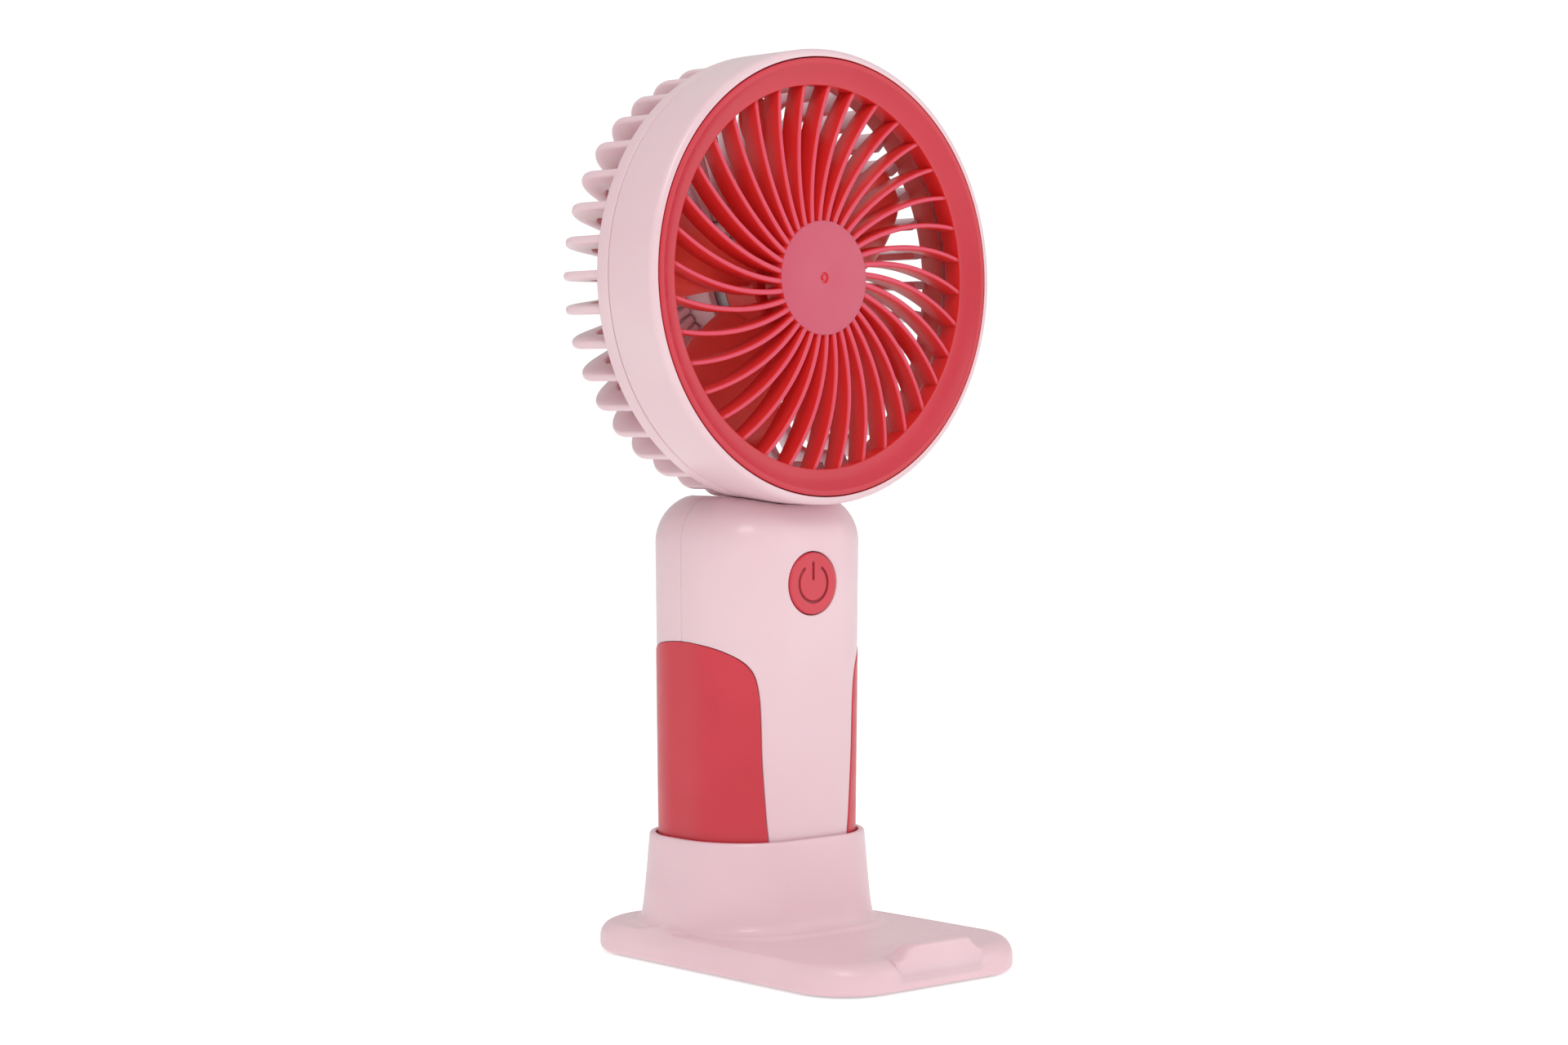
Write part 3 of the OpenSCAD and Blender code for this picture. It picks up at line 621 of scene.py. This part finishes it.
def gripEdgeAt(z):
    # the edge as a smooth cubic curve through its points, worked out in small chords
    t = np.linspace(0, len(gripEdge) - 1, 400)
    i = np.clip(t.astype(int), 0, len(gripEdge) - 2)
    f = (t - i)[:, None]
    pts = np.vstack([2 * gripEdge[0] - gripEdge[1], gripEdge, 2 * gripEdge[-1] - gripEdge[-2]])
    p0, p1, p2, p3 = pts[i], pts[i + 1], pts[i + 2], pts[i + 3]
    square, cube = 2 * p0 - 5 * p1 + 4 * p2 - p3, 3 * p1 - p0 - 3 * p2 + p3
    curve = 0.5 * (2 * p1 + (p2 - p0) * f + square * f ** 2 + cube * f ** 3)
    height = np.maximum.accumulate(curve[:, 1]) + np.arange(400) * 1e-7
    return np.where(z >= gripTop, quarter, np.minimum(np.interp(z, height, curve[:, 0]), quarter))


def handlePoint(along, radius, z):
    # along: distance round the section from the front's middle, past the side's parting line onto the back;
    # the section is a rectangle of flats with round corners of the given radius
    along, radius, z = np.broadcast_arrays(along, radius, z)
    side = np.sign(along)
    s = np.abs(along)
    back = np.where(s > quarter, -1.0, 1.0)
    s = np.where(s > quarter, 2 * quarter - s, s)
    corner = handleShape["corner"]
    turn = np.clip((s - flatX) / corner, 0, math.pi / 2)
    x = np.minimum(s, flatX) + radius * np.sin(turn)
    y = -(flatY + radius * np.cos(turn)) + np.maximum(s - flatX - corner * math.pi / 2, 0)
    return np.stack([side * x, back * y, z], -1)


def sectionRadius(z):
    # corner radius of the handle's outside at a height, before the shoulder
    down = (shoulderZ - z) / (shoulderZ - handleBottom - handleShape["bottomEdge"])
    return handleShape["corner"] - handleShape["taper"] * np.clip(down, 0, 1)


def handleRows(inset):
    # heights and corner radii up one wall of the handle: bottom edge, side, shoulder
    s = handleShape
    edge = np.linspace(0, math.pi / 2, 5)
    low, round_ = handleBottom + inset, s["bottomEdge"]
    foot = s["corner"] - s["taper"] - inset
    bottom = [(low + round_ * (1 - math.cos(a)), foot - round_ * (1 - math.sin(a))) for a in edge]
    sideZ = np.concatenate([np.linspace(handleBottom + 4, 60, 30), np.linspace(60.5, 71.2, 50),
                            np.linspace(71.25, 71.7, 10), np.linspace(72.2, shoulderZ, 24)])
    sides = [(z, sectionRadius(z) - inset) for z in sideZ]
    bend = np.linspace(0, math.pi / 2, 18)[1:]
    r = s["shoulder"] - inset
    shoulder = [(shoulderZ + r * math.sin(a), s["corner"] - inset - r * (1 - math.cos(a))) for a in bend]
    return np.array(bottom + sides + shoulder)


def halfGrids(facing):
    # the outside and the inside of one half as grids: rows go up, columns go round from parting to parting;
    # the outside sinks by the recess past the grip's edge, over a small round, and drops to the head's seat
    s = handleShape
    outer, inner = handleRows(0.0), handleRows(s["wall"])
    z = outer[:, 0, None]
    edgeAt = gripEdgeAt(z)
    roundOff = np.linspace(0, math.pi / 2, 5)[None, :]
    floorS = edgeAt + (quarter - edgeAt) * np.linspace(1, 0, 14)[None, :]
    floorDrop = np.where(z < gripTop, s["recess"], s["edge"]) + 0 * floorS
    roundS = edgeAt - s["edge"] * (1 - np.cos(roundOff))
    roundDrop = s["edge"] * (1 - np.sin(roundOff)) + 0 * edgeAt
    panelS = (edgeAt - s["edge"]) * np.linspace(1, -1, 73)[None, 1:-1]
    along = np.concatenate([floorS, roundS, panelS, -roundS[:, ::-1], -floorS[:, ::-1]], 1)
    drop = np.concatenate([floorDrop, roundDrop, 0 * panelS, roundDrop[:, ::-1], floorDrop[:, ::-1]], 1)
    outside = handlePoint(along, outer[:, 1, None] - drop, z)
    inside = handlePoint(along, inner[:, 1, None], inner[:, 0, None])
    inside[..., 2] = np.minimum(inside[..., 2], s["ceiling"])
    outside[..., 2] = np.minimum(outside[..., 2], saddleZ(outside[..., 0]))
    flip = np.array([1, facing, 1])
    return along, z, outside * flip, inside * flip


def saddleZ(x):
    # height of the round seat that the head's ring lies in
    return headZ - np.sqrt(handleShape["saddleR"] ** 2 - x ** 2)


def neckMouth(along, facing):
    # half of the rectangle that the neck passes through, matched to the grid's columns
    s = handleShape
    halfWide, deep = s["mouthX"], s["mouthFront"] if facing > 0 else s["mouthBack"]
    gone = np.abs(along) / quarter * (halfWide + deep)
    x = np.sign(along) * np.minimum(halfWide, gone)
    y = -facing * np.minimum(deep, halfWide + deep - gone)
    return np.stack([x, y, 0 * x], -1)


def throughHole(along, z, outside, inside, block, outline, centreZ, facing):
    # a patch that joins the edge of a block of cells to the hole's outline, outside and inside, and the
    # wall between; outline gives the hole's reach in a direction
    top, bottom, left, right = block
    rows = np.concatenate([np.full(right - left, top), np.arange(top, bottom),
                           np.full(right - left, bottom), np.arange(bottom, top, -1)])
    cols = np.concatenate([np.arange(left, right), np.full(bottom - top, right), np.arange(right, left, -1),
                           np.full(bottom - top, left)])
    edgeS, edgeZ = along[rows, cols], z[rows, 0] - centreZ
    angle = np.arctan2(edgeZ, edgeS)
    reach = outline(angle)
    holeS, holeZ = reach * np.cos(angle), reach * np.sin(angle)
    corner = handleShape["corner"]
    wallAt = {"out": 0.0, "in": handleShape["wall"]}
    sheets = []
    for where, grid in (("out", outside), ("in", inside)):
        t = np.array([0, 0.06, 0.15, 0.3, 0.6, 1.0])[:, None]
        round_ = handleShape["holeEdge"] if where == "out" else 0.0
        grownS, grownZ = holeS * (1 + round_ / reach), holeZ * (1 + round_ / reach)
        s = grownS + (edgeS - grownS) * t
        h = grownZ + (edgeZ - grownZ) * t
        level = sectionRadius(centreZ + h) - wallAt[where]
        patch = handlePoint(s, level, centreZ + h) * np.array([1, facing, 1])
        patch[-1] = grid[rows, cols]
        sheets.append(patch)
    bend = np.linspace(0, math.pi / 2, 5)[:, None]
    r = handleShape["holeEdge"]
    s = holeS * (1 + r * (1 - np.sin(bend)) / reach)
    h = holeZ * (1 + r * (1 - np.sin(bend)) / reach)
    lip = handlePoint(s, sectionRadius(centreZ + h) - r * (1 - np.cos(bend)), centreZ + h)
    lip = lip * np.array([1, facing, 1])
    wall = np.stack([lip[-1], sheets[1][0]])
    return [(sheets[0], False, True), (sheets[1], False, True), (lip, False, True), (wall, False, True)]


def buildHalf(facing, outline, centreZ, blockZ, blockS):
    # one sheet from the seat up the outside, over the top to the neck's mouth, back along the ceiling and
    # down the inside, closed by strips along the parting, with a block of cells swapped for the hole
    along, z, outside, inside = halfGrids(facing)
    mouth = neckMouth(along[-1], facing)
    t = np.linspace(0, 1, 12)[1:, None, None]
    top = outside[-1] + (mouth - outside[-1]) * t
    top[..., 2] = np.minimum(topZ, saddleZ(top[..., 0]))
    ceiling = inside[-1] + (mouth - inside[-1]) * t
    ceiling[..., 2] = handleShape["ceiling"]
    seatOut, seatIn = outside[:1] * np.array([1, 0, 1]), inside[:1] * np.array([1, 0, 1])
    outer = np.concatenate([seatOut, outside, top])
    inner = np.concatenate([seatIn, inside, ceiling])
    skin = np.concatenate([outer, inner[::-1]])
    rowAt = np.searchsorted(z[:, 0], blockZ) + 1                  # one row up, past the seat's row
    level = along[rowAt[0] - 1]                                   # runs from plus to minus
    left, right = np.searchsorted(-level, [-blockS, blockS])
    block = (rowAt[0], rowAt[1], left, right)
    last = len(skin) - 1
    blockIn = (last - rowAt[1], last - rowAt[0], left, right)
    gridBlock = (rowAt[0] - 1, rowAt[1] - 1, left, right)
    patches = [(skin, True, False, block, blockIn)]
    patches += throughHole(along, z, outside, inside, gridBlock, outline, centreZ, facing)
    for col in (0, -1):
        patches.append((np.stack([outer[:, col], inner[:, col]], 1), False, False))
    return patches


def buttonHole(angle):
    # reach of a round hole in a direction: the same all round
    return handleShape["buttonR"] + handleShape["buttonGap"] + 0 * angle


def portSlot(angle):
    # reach of a slot with round ends in a direction: the flat side, or the round end past it
    w, h = handleShape["slotHalf"]
    flat = h / np.maximum(np.abs(np.sin(angle)), 1e-9)
    c = np.abs(np.cos(angle)) * (w - h)
    end = c + np.sqrt(np.maximum(c ** 2 - (w - h) ** 2 + h ** 2, 0))
    return np.where(flat * np.abs(np.cos(angle)) <= w - h, flat, end)


def sideGrip(side):
    # rows go up the grip and columns round it, out over its face and back along its inside; the face stands
    # a little proud of the handle, and its edge is round
    s = handleShape
    z = np.concatenate([np.linspace(handleBottom + 0.3, 58, 24), np.linspace(58.5, 71.0, 56),
                        np.linspace(71.05, gripTop - s["gap"], 8)])
    edgeAt = gripEdgeAt(z + s["gap"])[:, None] + s["gap"]
    width = np.maximum(quarter - edgeAt, 0)
    across = np.concatenate([[0, 0.01, 0.03], np.linspace(0.06, 1, 40)])
    across = np.concatenate([across, 2 - across[::-1][1:]])[None, :]
    along = edgeAt + width * across
    distance = np.minimum(width * np.minimum(across, 2 - across), (gripTop - z)[:, None] * 1.2 + 0 * along)
    near = np.clip(1 - distance / s["edge"], 0, 1)
    drop = s["edge"] * (1 - np.sqrt(1 - near ** 2))
    radius = sectionRadius(z)[:, None]
    face = handlePoint(along, radius + s["proud"] - drop, z[:, None])
    backing = handlePoint(along, radius - s["gripThick"], z[:, None])
    loop = np.concatenate([face, backing[:, ::-1]], 1)
    loop = loop * np.array([side, 1, 1])
    n = face.shape[1]
    foot = np.stack([loop[0, :n], loop[0, n:][::-1]], 1)
    head = np.stack([loop[-1, :n], loop[-1, n:][::-1]], 1)
    return [(loop, False, True), (foot, False, False), (head, False, False)]


portLow, portHigh = boxOf("usb_socket")
portZ = (portLow[2] + portHigh[2]) / 2
makePiece("handleFront", buildHalf(1, buttonHole, buttonZ, [buttonZ - 8.6, buttonZ + 8.2], 9.5), "fan",
          pinkPlastic, ["handle_front"])
makePiece("handleBack", buildHalf(-1, portSlot, portZ, [portZ - 4, portZ + 4], 8), "fan", pinkPlastic,
          ["handle_back"])
makePiece("leftGrip", sideGrip(-1), "fan", coralPlastic, ["left_grip"])
makePiece("rightGrip", sideGrip(1), "fan", coralPlastic, ["right_grip"])


buttonShape = {"r": handleShape["buttonR"], "edge": 0.45, "flangeR": 8.1, "flangeAt": 2.9, "flangeEnd": 4.1,
               "stemR": 1.6, "symbolR": 4.15, "symbolGap": 38.0, "bar": (1.0, 4.5), "line": 0.34, "deep": 0.4}


def symbolDistance(x, z, s):
    # distance from the symbol's middle line: an arc that is open at the top, and an upright bar
    angle = np.arctan2(x, z)                                       # from the top, to either side
    gap = math.radians(s["symbolGap"])
    onArc = np.abs(np.hypot(x, z) - s["symbolR"])
    endX, endZ = s["symbolR"] * math.sin(gap), s["symbolR"] * math.cos(gap)
    toEnd = np.hypot(np.abs(x) - endX, z - endZ)
    toArc = np.where(np.abs(angle) >= gap, onArc, toEnd)
    toBar = np.hypot(x, z - np.clip(z, *s["bar"]))
    return np.minimum(toArc, toBar)


def powerButton(s):
    # the face is a height over a round grid, sunk along the symbol; then the side, flange and stem
    bend = np.linspace(0, math.pi / 2, 6)[1:]
    reach = np.concatenate([np.linspace(0, s["r"] - s["edge"], 64),
                            s["r"] - s["edge"] * (1 - np.sin(bend))])[:, None]
    angle = np.linspace(0, tau, 256, endpoint=False)[None, :]
    x, z = reach * np.cos(angle), reach * np.sin(angle)
    sunk = s["deep"] * (1 - smoothStep((symbolDistance(x, z, s) - s["line"] + 0.12) / 0.16))
    past = np.clip((reach - s["r"] + s["edge"]) / s["edge"], 0, 1)
    face = buttonLow[1] + sunk + s["edge"] * (1 - np.sqrt(1 - past ** 2))
    rows = np.stack([x, face, buttonZ + z], -1)
    flange, under = buttonLow[1] + s["flangeAt"], buttonLow[1] + s["flangeEnd"]
    rest = [(s["r"], flange), (s["flangeR"], flange), (s["flangeR"], under), (s["stemR"], under),
            (s["stemR"], buttonHigh[1]), (0, buttonHigh[1])]
    turn = angle[0]
    sides = [np.stack([r * np.cos(turn), 0 * turn + y, buttonZ + r * np.sin(turn)], -1) for r, y in rest]
    return [(np.concatenate([rows, sides]), False, True)]


def markEngraving(piece):
    # a point attribute that is 1 in the bottom of the symbol, where the material paints shade
    count = len(piece.data.vertices)
    spot = np.empty(count * 3)
    piece.data.vertices.foreach_get("co", spot)
    x, y, z = spot.reshape(-1, 3).T / mm
    deep = np.clip((y - buttonLow[1]) / buttonShape["deep"], 0, 1)
    near = symbolDistance(x, z - buttonZ, buttonShape) < buttonShape["line"] + 0.1
    engraved = piece.data.attributes.new("engraving", "FLOAT", "POINT")
    engraved.data.foreach_set("value", (deep * near).astype(np.float32))


markEngraving(makePiece("powerButton", powerButton(buttonShape), "button", buttonPlastic,
                        ["power_button"], sharpAngle=50))


baseShape = {"corner": 13.5, "edge": 3.6, "bottomEdge": 1.5, "topZ": 7.2, "bottomZ": 0.5, "wall": 2.2,
             "cupFoot": 4.0, "cupTop": 2.3, "cupFootZ": 10.2, "fillet": 2.2, "lip": 0.8, "lipAt": 2.6,
             "lipRun": 2.4, "rimEdge": 0.55, "rimIn": 0.3, "cavity": (0.6, 0.9), "cavityFloor": handleBottom,
             "underside": 5.0}
cupR = handleShape["corner"] - handleShape["taper"]


def roundBox(x0, x1, y0, y1, corner, perSide=28, perCorner=22):
    # outline of a box with round corners; the corner radius may be an array, one outline for each value
    corner = np.atleast_1d(corner)[:, None]
    x0, x1, y0, y1 = [np.atleast_1d(v)[:, None] for v in (x0, x1, y0, y1)]
    turn = np.linspace(0, math.pi / 2, perCorner)[None, :]
    run = np.linspace(0, 1, perSide)[None, 1:-1]
    pieces = []
    left, right, low, high = x0 + corner, x1 - corner, y0 + corner, y1 - corner
    for k, (cx, cy) in enumerate(((right, high), (left, high), (left, low), (right, low))):
        a = turn + k * math.pi / 2
        pieces.append((cx + corner * np.cos(a), cy + corner * np.sin(a)))
    loop = []
    for k in range(4):
        (ax, ay), (bx, by) = pieces[k], pieces[(k + 1) % 4]
        loop.append(np.stack([ax, ay], -1))
        start, end = np.stack([ax[:, -1:], ay[:, -1:]], -1), np.stack([bx[:, :1], by[:, :1]], -1)
        loop.append(start + (end - start) * run[:, :, None])
    return np.concatenate(loop, 1)


def grownSection(grow):
    # the handle's bottom section grown outward
    grow = np.atleast_1d(grow)
    wide, deep = flatX + cupR + grow, flatY + cupR + grow
    return roundBox(-wide, wide, -deep, deep, cupR + grow)


def footOutline(inset):
    # the foot's outline, drawn in
    inset = np.atleast_1d(inset)
    return roundBox(baseLow[0] + inset, baseHigh[0] - inset, baseLow[1] + inset, baseHigh[1] - inset,
                    baseShape["corner"] - inset)


def levelled(outlines, z):
    # flat outlines put at heights, one each
    z = np.atleast_1d(z)[:, None] + np.zeros(outlines.shape[:2])
    return np.concatenate([outlines, z[:, :, None]], -1)


def footTop(s):
    # rows from the foot's edge in to the cup; height is the edge's fillet plus the cup's swelling foot
    out, cup = footOutline(0.0)[0], grownSection(s["cupFoot"])[0]
    gap = np.linalg.norm(out - cup, axis=1)[None, :]
    edgeIn = s["edge"] * (1 - np.cos(np.linspace(0, math.pi / 2, 10)))
    fromEdge = np.minimum(edgeIn[:, None], gap * np.linspace(0, 0.5, 10)[:, None])
    swell = np.linspace(0, s["lipAt"] + s["lipRun"] + 0.4, 18)[::-1]
    fromCup = np.minimum(swell[:, None], gap * np.linspace(0.49, 0, 18)[:, None])
    inward = np.concatenate([fromEdge, gap - fromCup])
    e, d = gap - inward, inward
    fall = s["edge"] - np.sqrt(np.maximum(s["edge"] ** 2 - np.maximum(s["edge"] - d, 0) ** 2, 0))
    hollow = np.sqrt(np.maximum(s["fillet"] ** 2 - np.maximum(s["fillet"] - e, 0) ** 2, 0))
    rise = s["cupFootZ"] - s["topZ"]
    lift = np.where(e < s["fillet"], rise - (rise - s["lip"]) * hollow / s["fillet"],
                    s["lip"] * (1 - smoothStep((e - s["lipAt"]) / s["lipRun"])))
    z = s["topZ"] - fall + lift * smoothStep(d / 2.6)
    z[-1] = s["cupFootZ"]
    xy = out[None] + (cup - out)[None] * (inward / gap)[:, :, None]
    return np.concatenate([xy, z[:, :, None]], -1)


def baseSkin(s):
    # one skin from the middle of the underside, round the foot, up the cup, over its rim and down inside
    bend = np.linspace(0, math.pi / 2, 6)
    wall, low, bottomZ, topZ = s["wall"], s["bottomEdge"], s["bottomZ"], s["topZ"]
    under = levelled(footOutline([wall + 8, wall + 0.6, wall, wall, 0.6 * wall]),
                     [s["underside"], s["underside"], s["underside"] - 0.6, bottomZ, bottomZ])
    bottom = levelled(footOutline(low * (1 - np.sin(bend))), bottomZ + low * (1 - np.cos(bend)))
    side = levelled(footOutline(np.zeros(3)), np.linspace(bottomZ + low, topZ - s["edge"], 5)[1:-1])
    rim, edge, inEdge = baseHigh[2], s["rimEdge"], s["rimIn"]
    cupZ = np.linspace(s["cupFootZ"], rim - edge, 14)[1:]
    rise = (cupZ - s["cupFootZ"]) / (rim - s["cupFootZ"])
    cup = levelled(grownSection(s["cupFoot"] + (s["cupTop"] - s["cupFoot"]) * rise ** 0.8), cupZ)
    over = levelled(grownSection(s["cupTop"] - edge + edge * np.cos(bend[1:])),
                    rim - edge + edge * np.sin(bend[1:]))
    inner = levelled(grownSection(s["cavity"][1] + inEdge * (1 - np.sin(bend))),
                     rim - inEdge * (1 - np.cos(bend)))
    deep, floor = s["cavity"][0], s["cavityFloor"]
    down = levelled(grownSection([deep, deep - 0.1, deep - 0.6]), [floor + 0.6, floor + 0.1, floor])
    rows = [under, bottom, side, footTop(s), cup, over, inner, down]
    return [(capped(np.concatenate(rows)), False, True)]


stopShape = {"top": (8.5, 4.0), "foot": (11.6, 5.0), "startZ": 2.4, "topZ": 10.1, "edge": 0.7, "flare": 1.3,
             "corner": 1.4}


def phoneStop(s):
    # a tab that narrows upward and flares into the foot's top; its front stays flush with the foot's front
    footW, footD = s["foot"]
    topW, topD = s["top"]
    footZ, stopTop, edge, flare = baseShape["topZ"], s["topZ"], s["edge"], s["flare"]
    bend = np.linspace(0, math.pi / 2, 7)
    z = np.concatenate([[s["startZ"]], footZ - 0.1 + flare * (1 - np.cos(bend)),
                        np.linspace(footZ + flare, stopTop - edge, 5)[1:],
                        stopTop - edge + edge * np.sin(bend[1:])])
    rise = np.clip((z - footZ) / (stopTop - footZ), 0, 1)
    skirt = np.concatenate([[flare], flare * (1 - np.sin(bend)), np.zeros(len(z) - 8)])
    inward = np.concatenate([np.zeros(len(z) - 6), edge * (1 - np.cos(bend[1:]))])
    wide = footW + (topW - footW) * rise + skirt - inward
    back = baseLow[1] + footD + (topD - footD) * rise + skirt - inward
    front = baseLow[1] + 0.02 + inward
    corner = np.minimum(s["corner"], (back - front) / 2 - 0.05)
    rows = levelled(roundBox(-wide, wide, front, back, corner, 12, 6), z)
    return [(capped(rows), False, True)]


makePiece("baseShell", baseSkin(baseShape) + phoneStop(stopShape), "base", basePlastic, ["base_shell"],
          sharpAngle=40)


def wireMaterial():
    # one wire of a pair is red and the other black, parted down the middle
    material = plastic("wirePlastic", linear(196, 30, 32), linear(180, 24, 26), rough=(0.35, 0.5))
    tree = material.node_tree
    place = next(node for node in tree.nodes if node.type == "TEX_COORD")
    split = addNode(tree, "SeparateXYZ", {0: place.outputs["Object"]})
    right = addNode(tree, "Math", {0: split.outputs["X"], 1: 0.0}, operation="GREATER_THAN")
    blend(material, right.outputs[0], linear(34, 34, 36))
    return material


def finishNodes(material, *names):
    # gives nodes that stay as the frame has them a material in every slot
    for name in names:
        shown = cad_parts[name]
        if not shown.material_slots:
            shown.data.materials.append(material)
        for place in shown.material_slots:
            place.link = "OBJECT"
            place.material = material


finishNodes(metal("turnedSteel", linear(196, 198, 202), linear(160, 163, 168)),
            "motor_shaft", "motor_screws", "handle_screws", "board_screws", "base_screws")
finishNodes(metal("pressedSteel", linear(186, 188, 190), linear(150, 152, 156), rough=(0.3, 0.5),
                  stretch=(900.0, 900.0, 60.0)), "motor_can", "usb_socket", "battery_tabs")
finishNodes(metal("brassSheet", linear(206, 170, 96), linear(178, 140, 72)),
            "motor_bushes", "motor_terminals")
finishNodes(metal("magnetSteel", linear(84, 84, 88), linear(58, 58, 62), rough=(0.5, 0.7)),
            "motor_magnets")
finishNodes(metal("copperWinding", linear(190, 104, 62), linear(140, 66, 36),
                  stretch=(300.0, 4000.0, 300.0)), "motor_armature")
finishNodes(plastic("nylonCap", linear(226, 224, 216), linear(214, 211, 202)), "motor_end_cap")
finishNodes(plastic("blackPlastic", linear(38, 38, 41), linear(26, 26, 29)),
            "switch_housing", "usb_tongue", "board_components")
finishNodes(plastic("switchCap", linear(196, 196, 192), linear(180, 180, 176)), "switch_plunger")
finishNodes(plastic("circuitBoard", linear(34, 110, 66), linear(24, 88, 52), rough=(0.25, 0.4), coat=0.4),
            "circuit_board")
finishNodes(plastic("cellSleeve", linear(58, 112, 176), linear(46, 96, 158), rough=(0.2, 0.34), coat=0.5),
            "battery_cell")
finishNodes(wireMaterial(), "motor_leads", "battery_leads")
finishNodes(plastic("plateBlack", linear(60, 60, 63), linear(46, 46, 49), rough=(0.45, 0.6)), "base_plate")
finishNodes(plastic("footRubber", linear(52, 52, 54), linear(38, 38, 40), rough=(0.7, 0.9), grain=0.8,
                    bump=0.2), "non_slip_pad")
print("inner parts finished")


cameraShape = {"distance": 700.0, "azimuth": -41.37, "aside": 8.085, "height": 123.9, "down": 2.18,
               "lens": 70.56}
stageShape = {"sky": 0.62, "skySeen": 1.05, "reach": 6.0, "glow": 0.3, "glowSeen": 0.52}


def lookFrom(c):
    # a level distance from the axis, turned round it, moved aside and aimed a little down
    camera = bpy.data.cameras.new("camera")
    camera.lens = c["lens"]
    camera.sensor_width = 36
    holder = bpy.data.objects.new("camera", camera)
    bpy.context.scene.collection.objects.link(holder)
    a, down = math.radians(c["azimuth"]), math.radians(c["down"])
    away = c["distance"]
    spot = Vector((away * math.sin(a) + c["aside"], -away * math.cos(a), c["height"])) * mm
    aim = Vector((-math.sin(a) * math.cos(down), math.cos(a) * math.cos(down), -math.sin(down)))
    holder.location = spot
    holder.rotation_euler = aim.to_track_quat("-Z", "Y").to_euler()
    bpy.context.scene.camera = holder


def softBox(name, spot, aim, size, power):
    light = bpy.data.lights.new(name, "AREA")
    light.shape = "RECTANGLE"
    light.size, light.size_y = size
    light.energy = power
    holder = bpy.data.objects.new(name, light)
    bpy.context.scene.collection.objects.link(holder)
    holder.location = Vector(spot)
    holder.rotation_euler = (Vector(aim) - Vector(spot)).to_track_quat("-Z", "Y").to_euler()


def stage(s):
    world = bpy.data.worlds.new("studio")
    bpy.context.scene.world = world
    world.use_nodes = True
    # the sky lights softly, and the camera sees it as a white backdrop
    tree = world.node_tree
    path = addNode(tree, "LightPath")
    strength = addNode(tree, "MapRange", {"Value": path.outputs["Is Camera Ray"],
                                          "To Min": s["sky"], "To Max": s["skySeen"]})
    tree.nodes["Background"].inputs["Color"].default_value = (1, 1, 1, 1)
    tree.links.new(strength.outputs["Result"], tree.nodes["Background"].inputs["Strength"])
    floorMesh = bpy.data.meshes.new("floor")
    corners = [(x * s["reach"], y * s["reach"], 0) for x, y in ((-1, -1), (1, -1), (1, 1), (-1, 1))]
    floorMesh.from_pydata(corners, [], [(0, 1, 2, 3)])
    floor = bpy.data.objects.new("floor", floorMesh)
    bpy.context.scene.collection.objects.link(floor)
    material, tree, shader, spot = newMaterial("paleFloor")
    shader.inputs["Base Color"].default_value = (0.9, 0.9, 0.9, 1)
    shader.inputs["Roughness"].default_value = 0.9
    shader.inputs["Specular IOR Level"].default_value = 0.0
    # the camera sees the floor as white as the backdrop
    path = addNode(tree, "LightPath")
    glow = addNode(tree, "MapRange", {"Value": path.outputs["Is Camera Ray"],
                                      "To Min": s["glow"], "To Max": s["glowSeen"]})
    tree.links.new(glow.outputs["Result"], shader.inputs["Emission Color"])
    shader.inputs["Emission Strength"].default_value = 1.0
    floorMesh.materials.append(material)


lookFrom(cameraShape)
stage(stageShape)
print("stage, light and camera ready")
softBox("key", (-0.55, -0.75, 0.95), (0, 0, 0.1), (0.45, 0.6), 4.2)
softBox("fill", (0.9, -0.8, 0.4), (0, 0, 0.1), (0.8, 0.8), 1.6)
bpy.context.scene.view_settings.view_transform = "Standard"
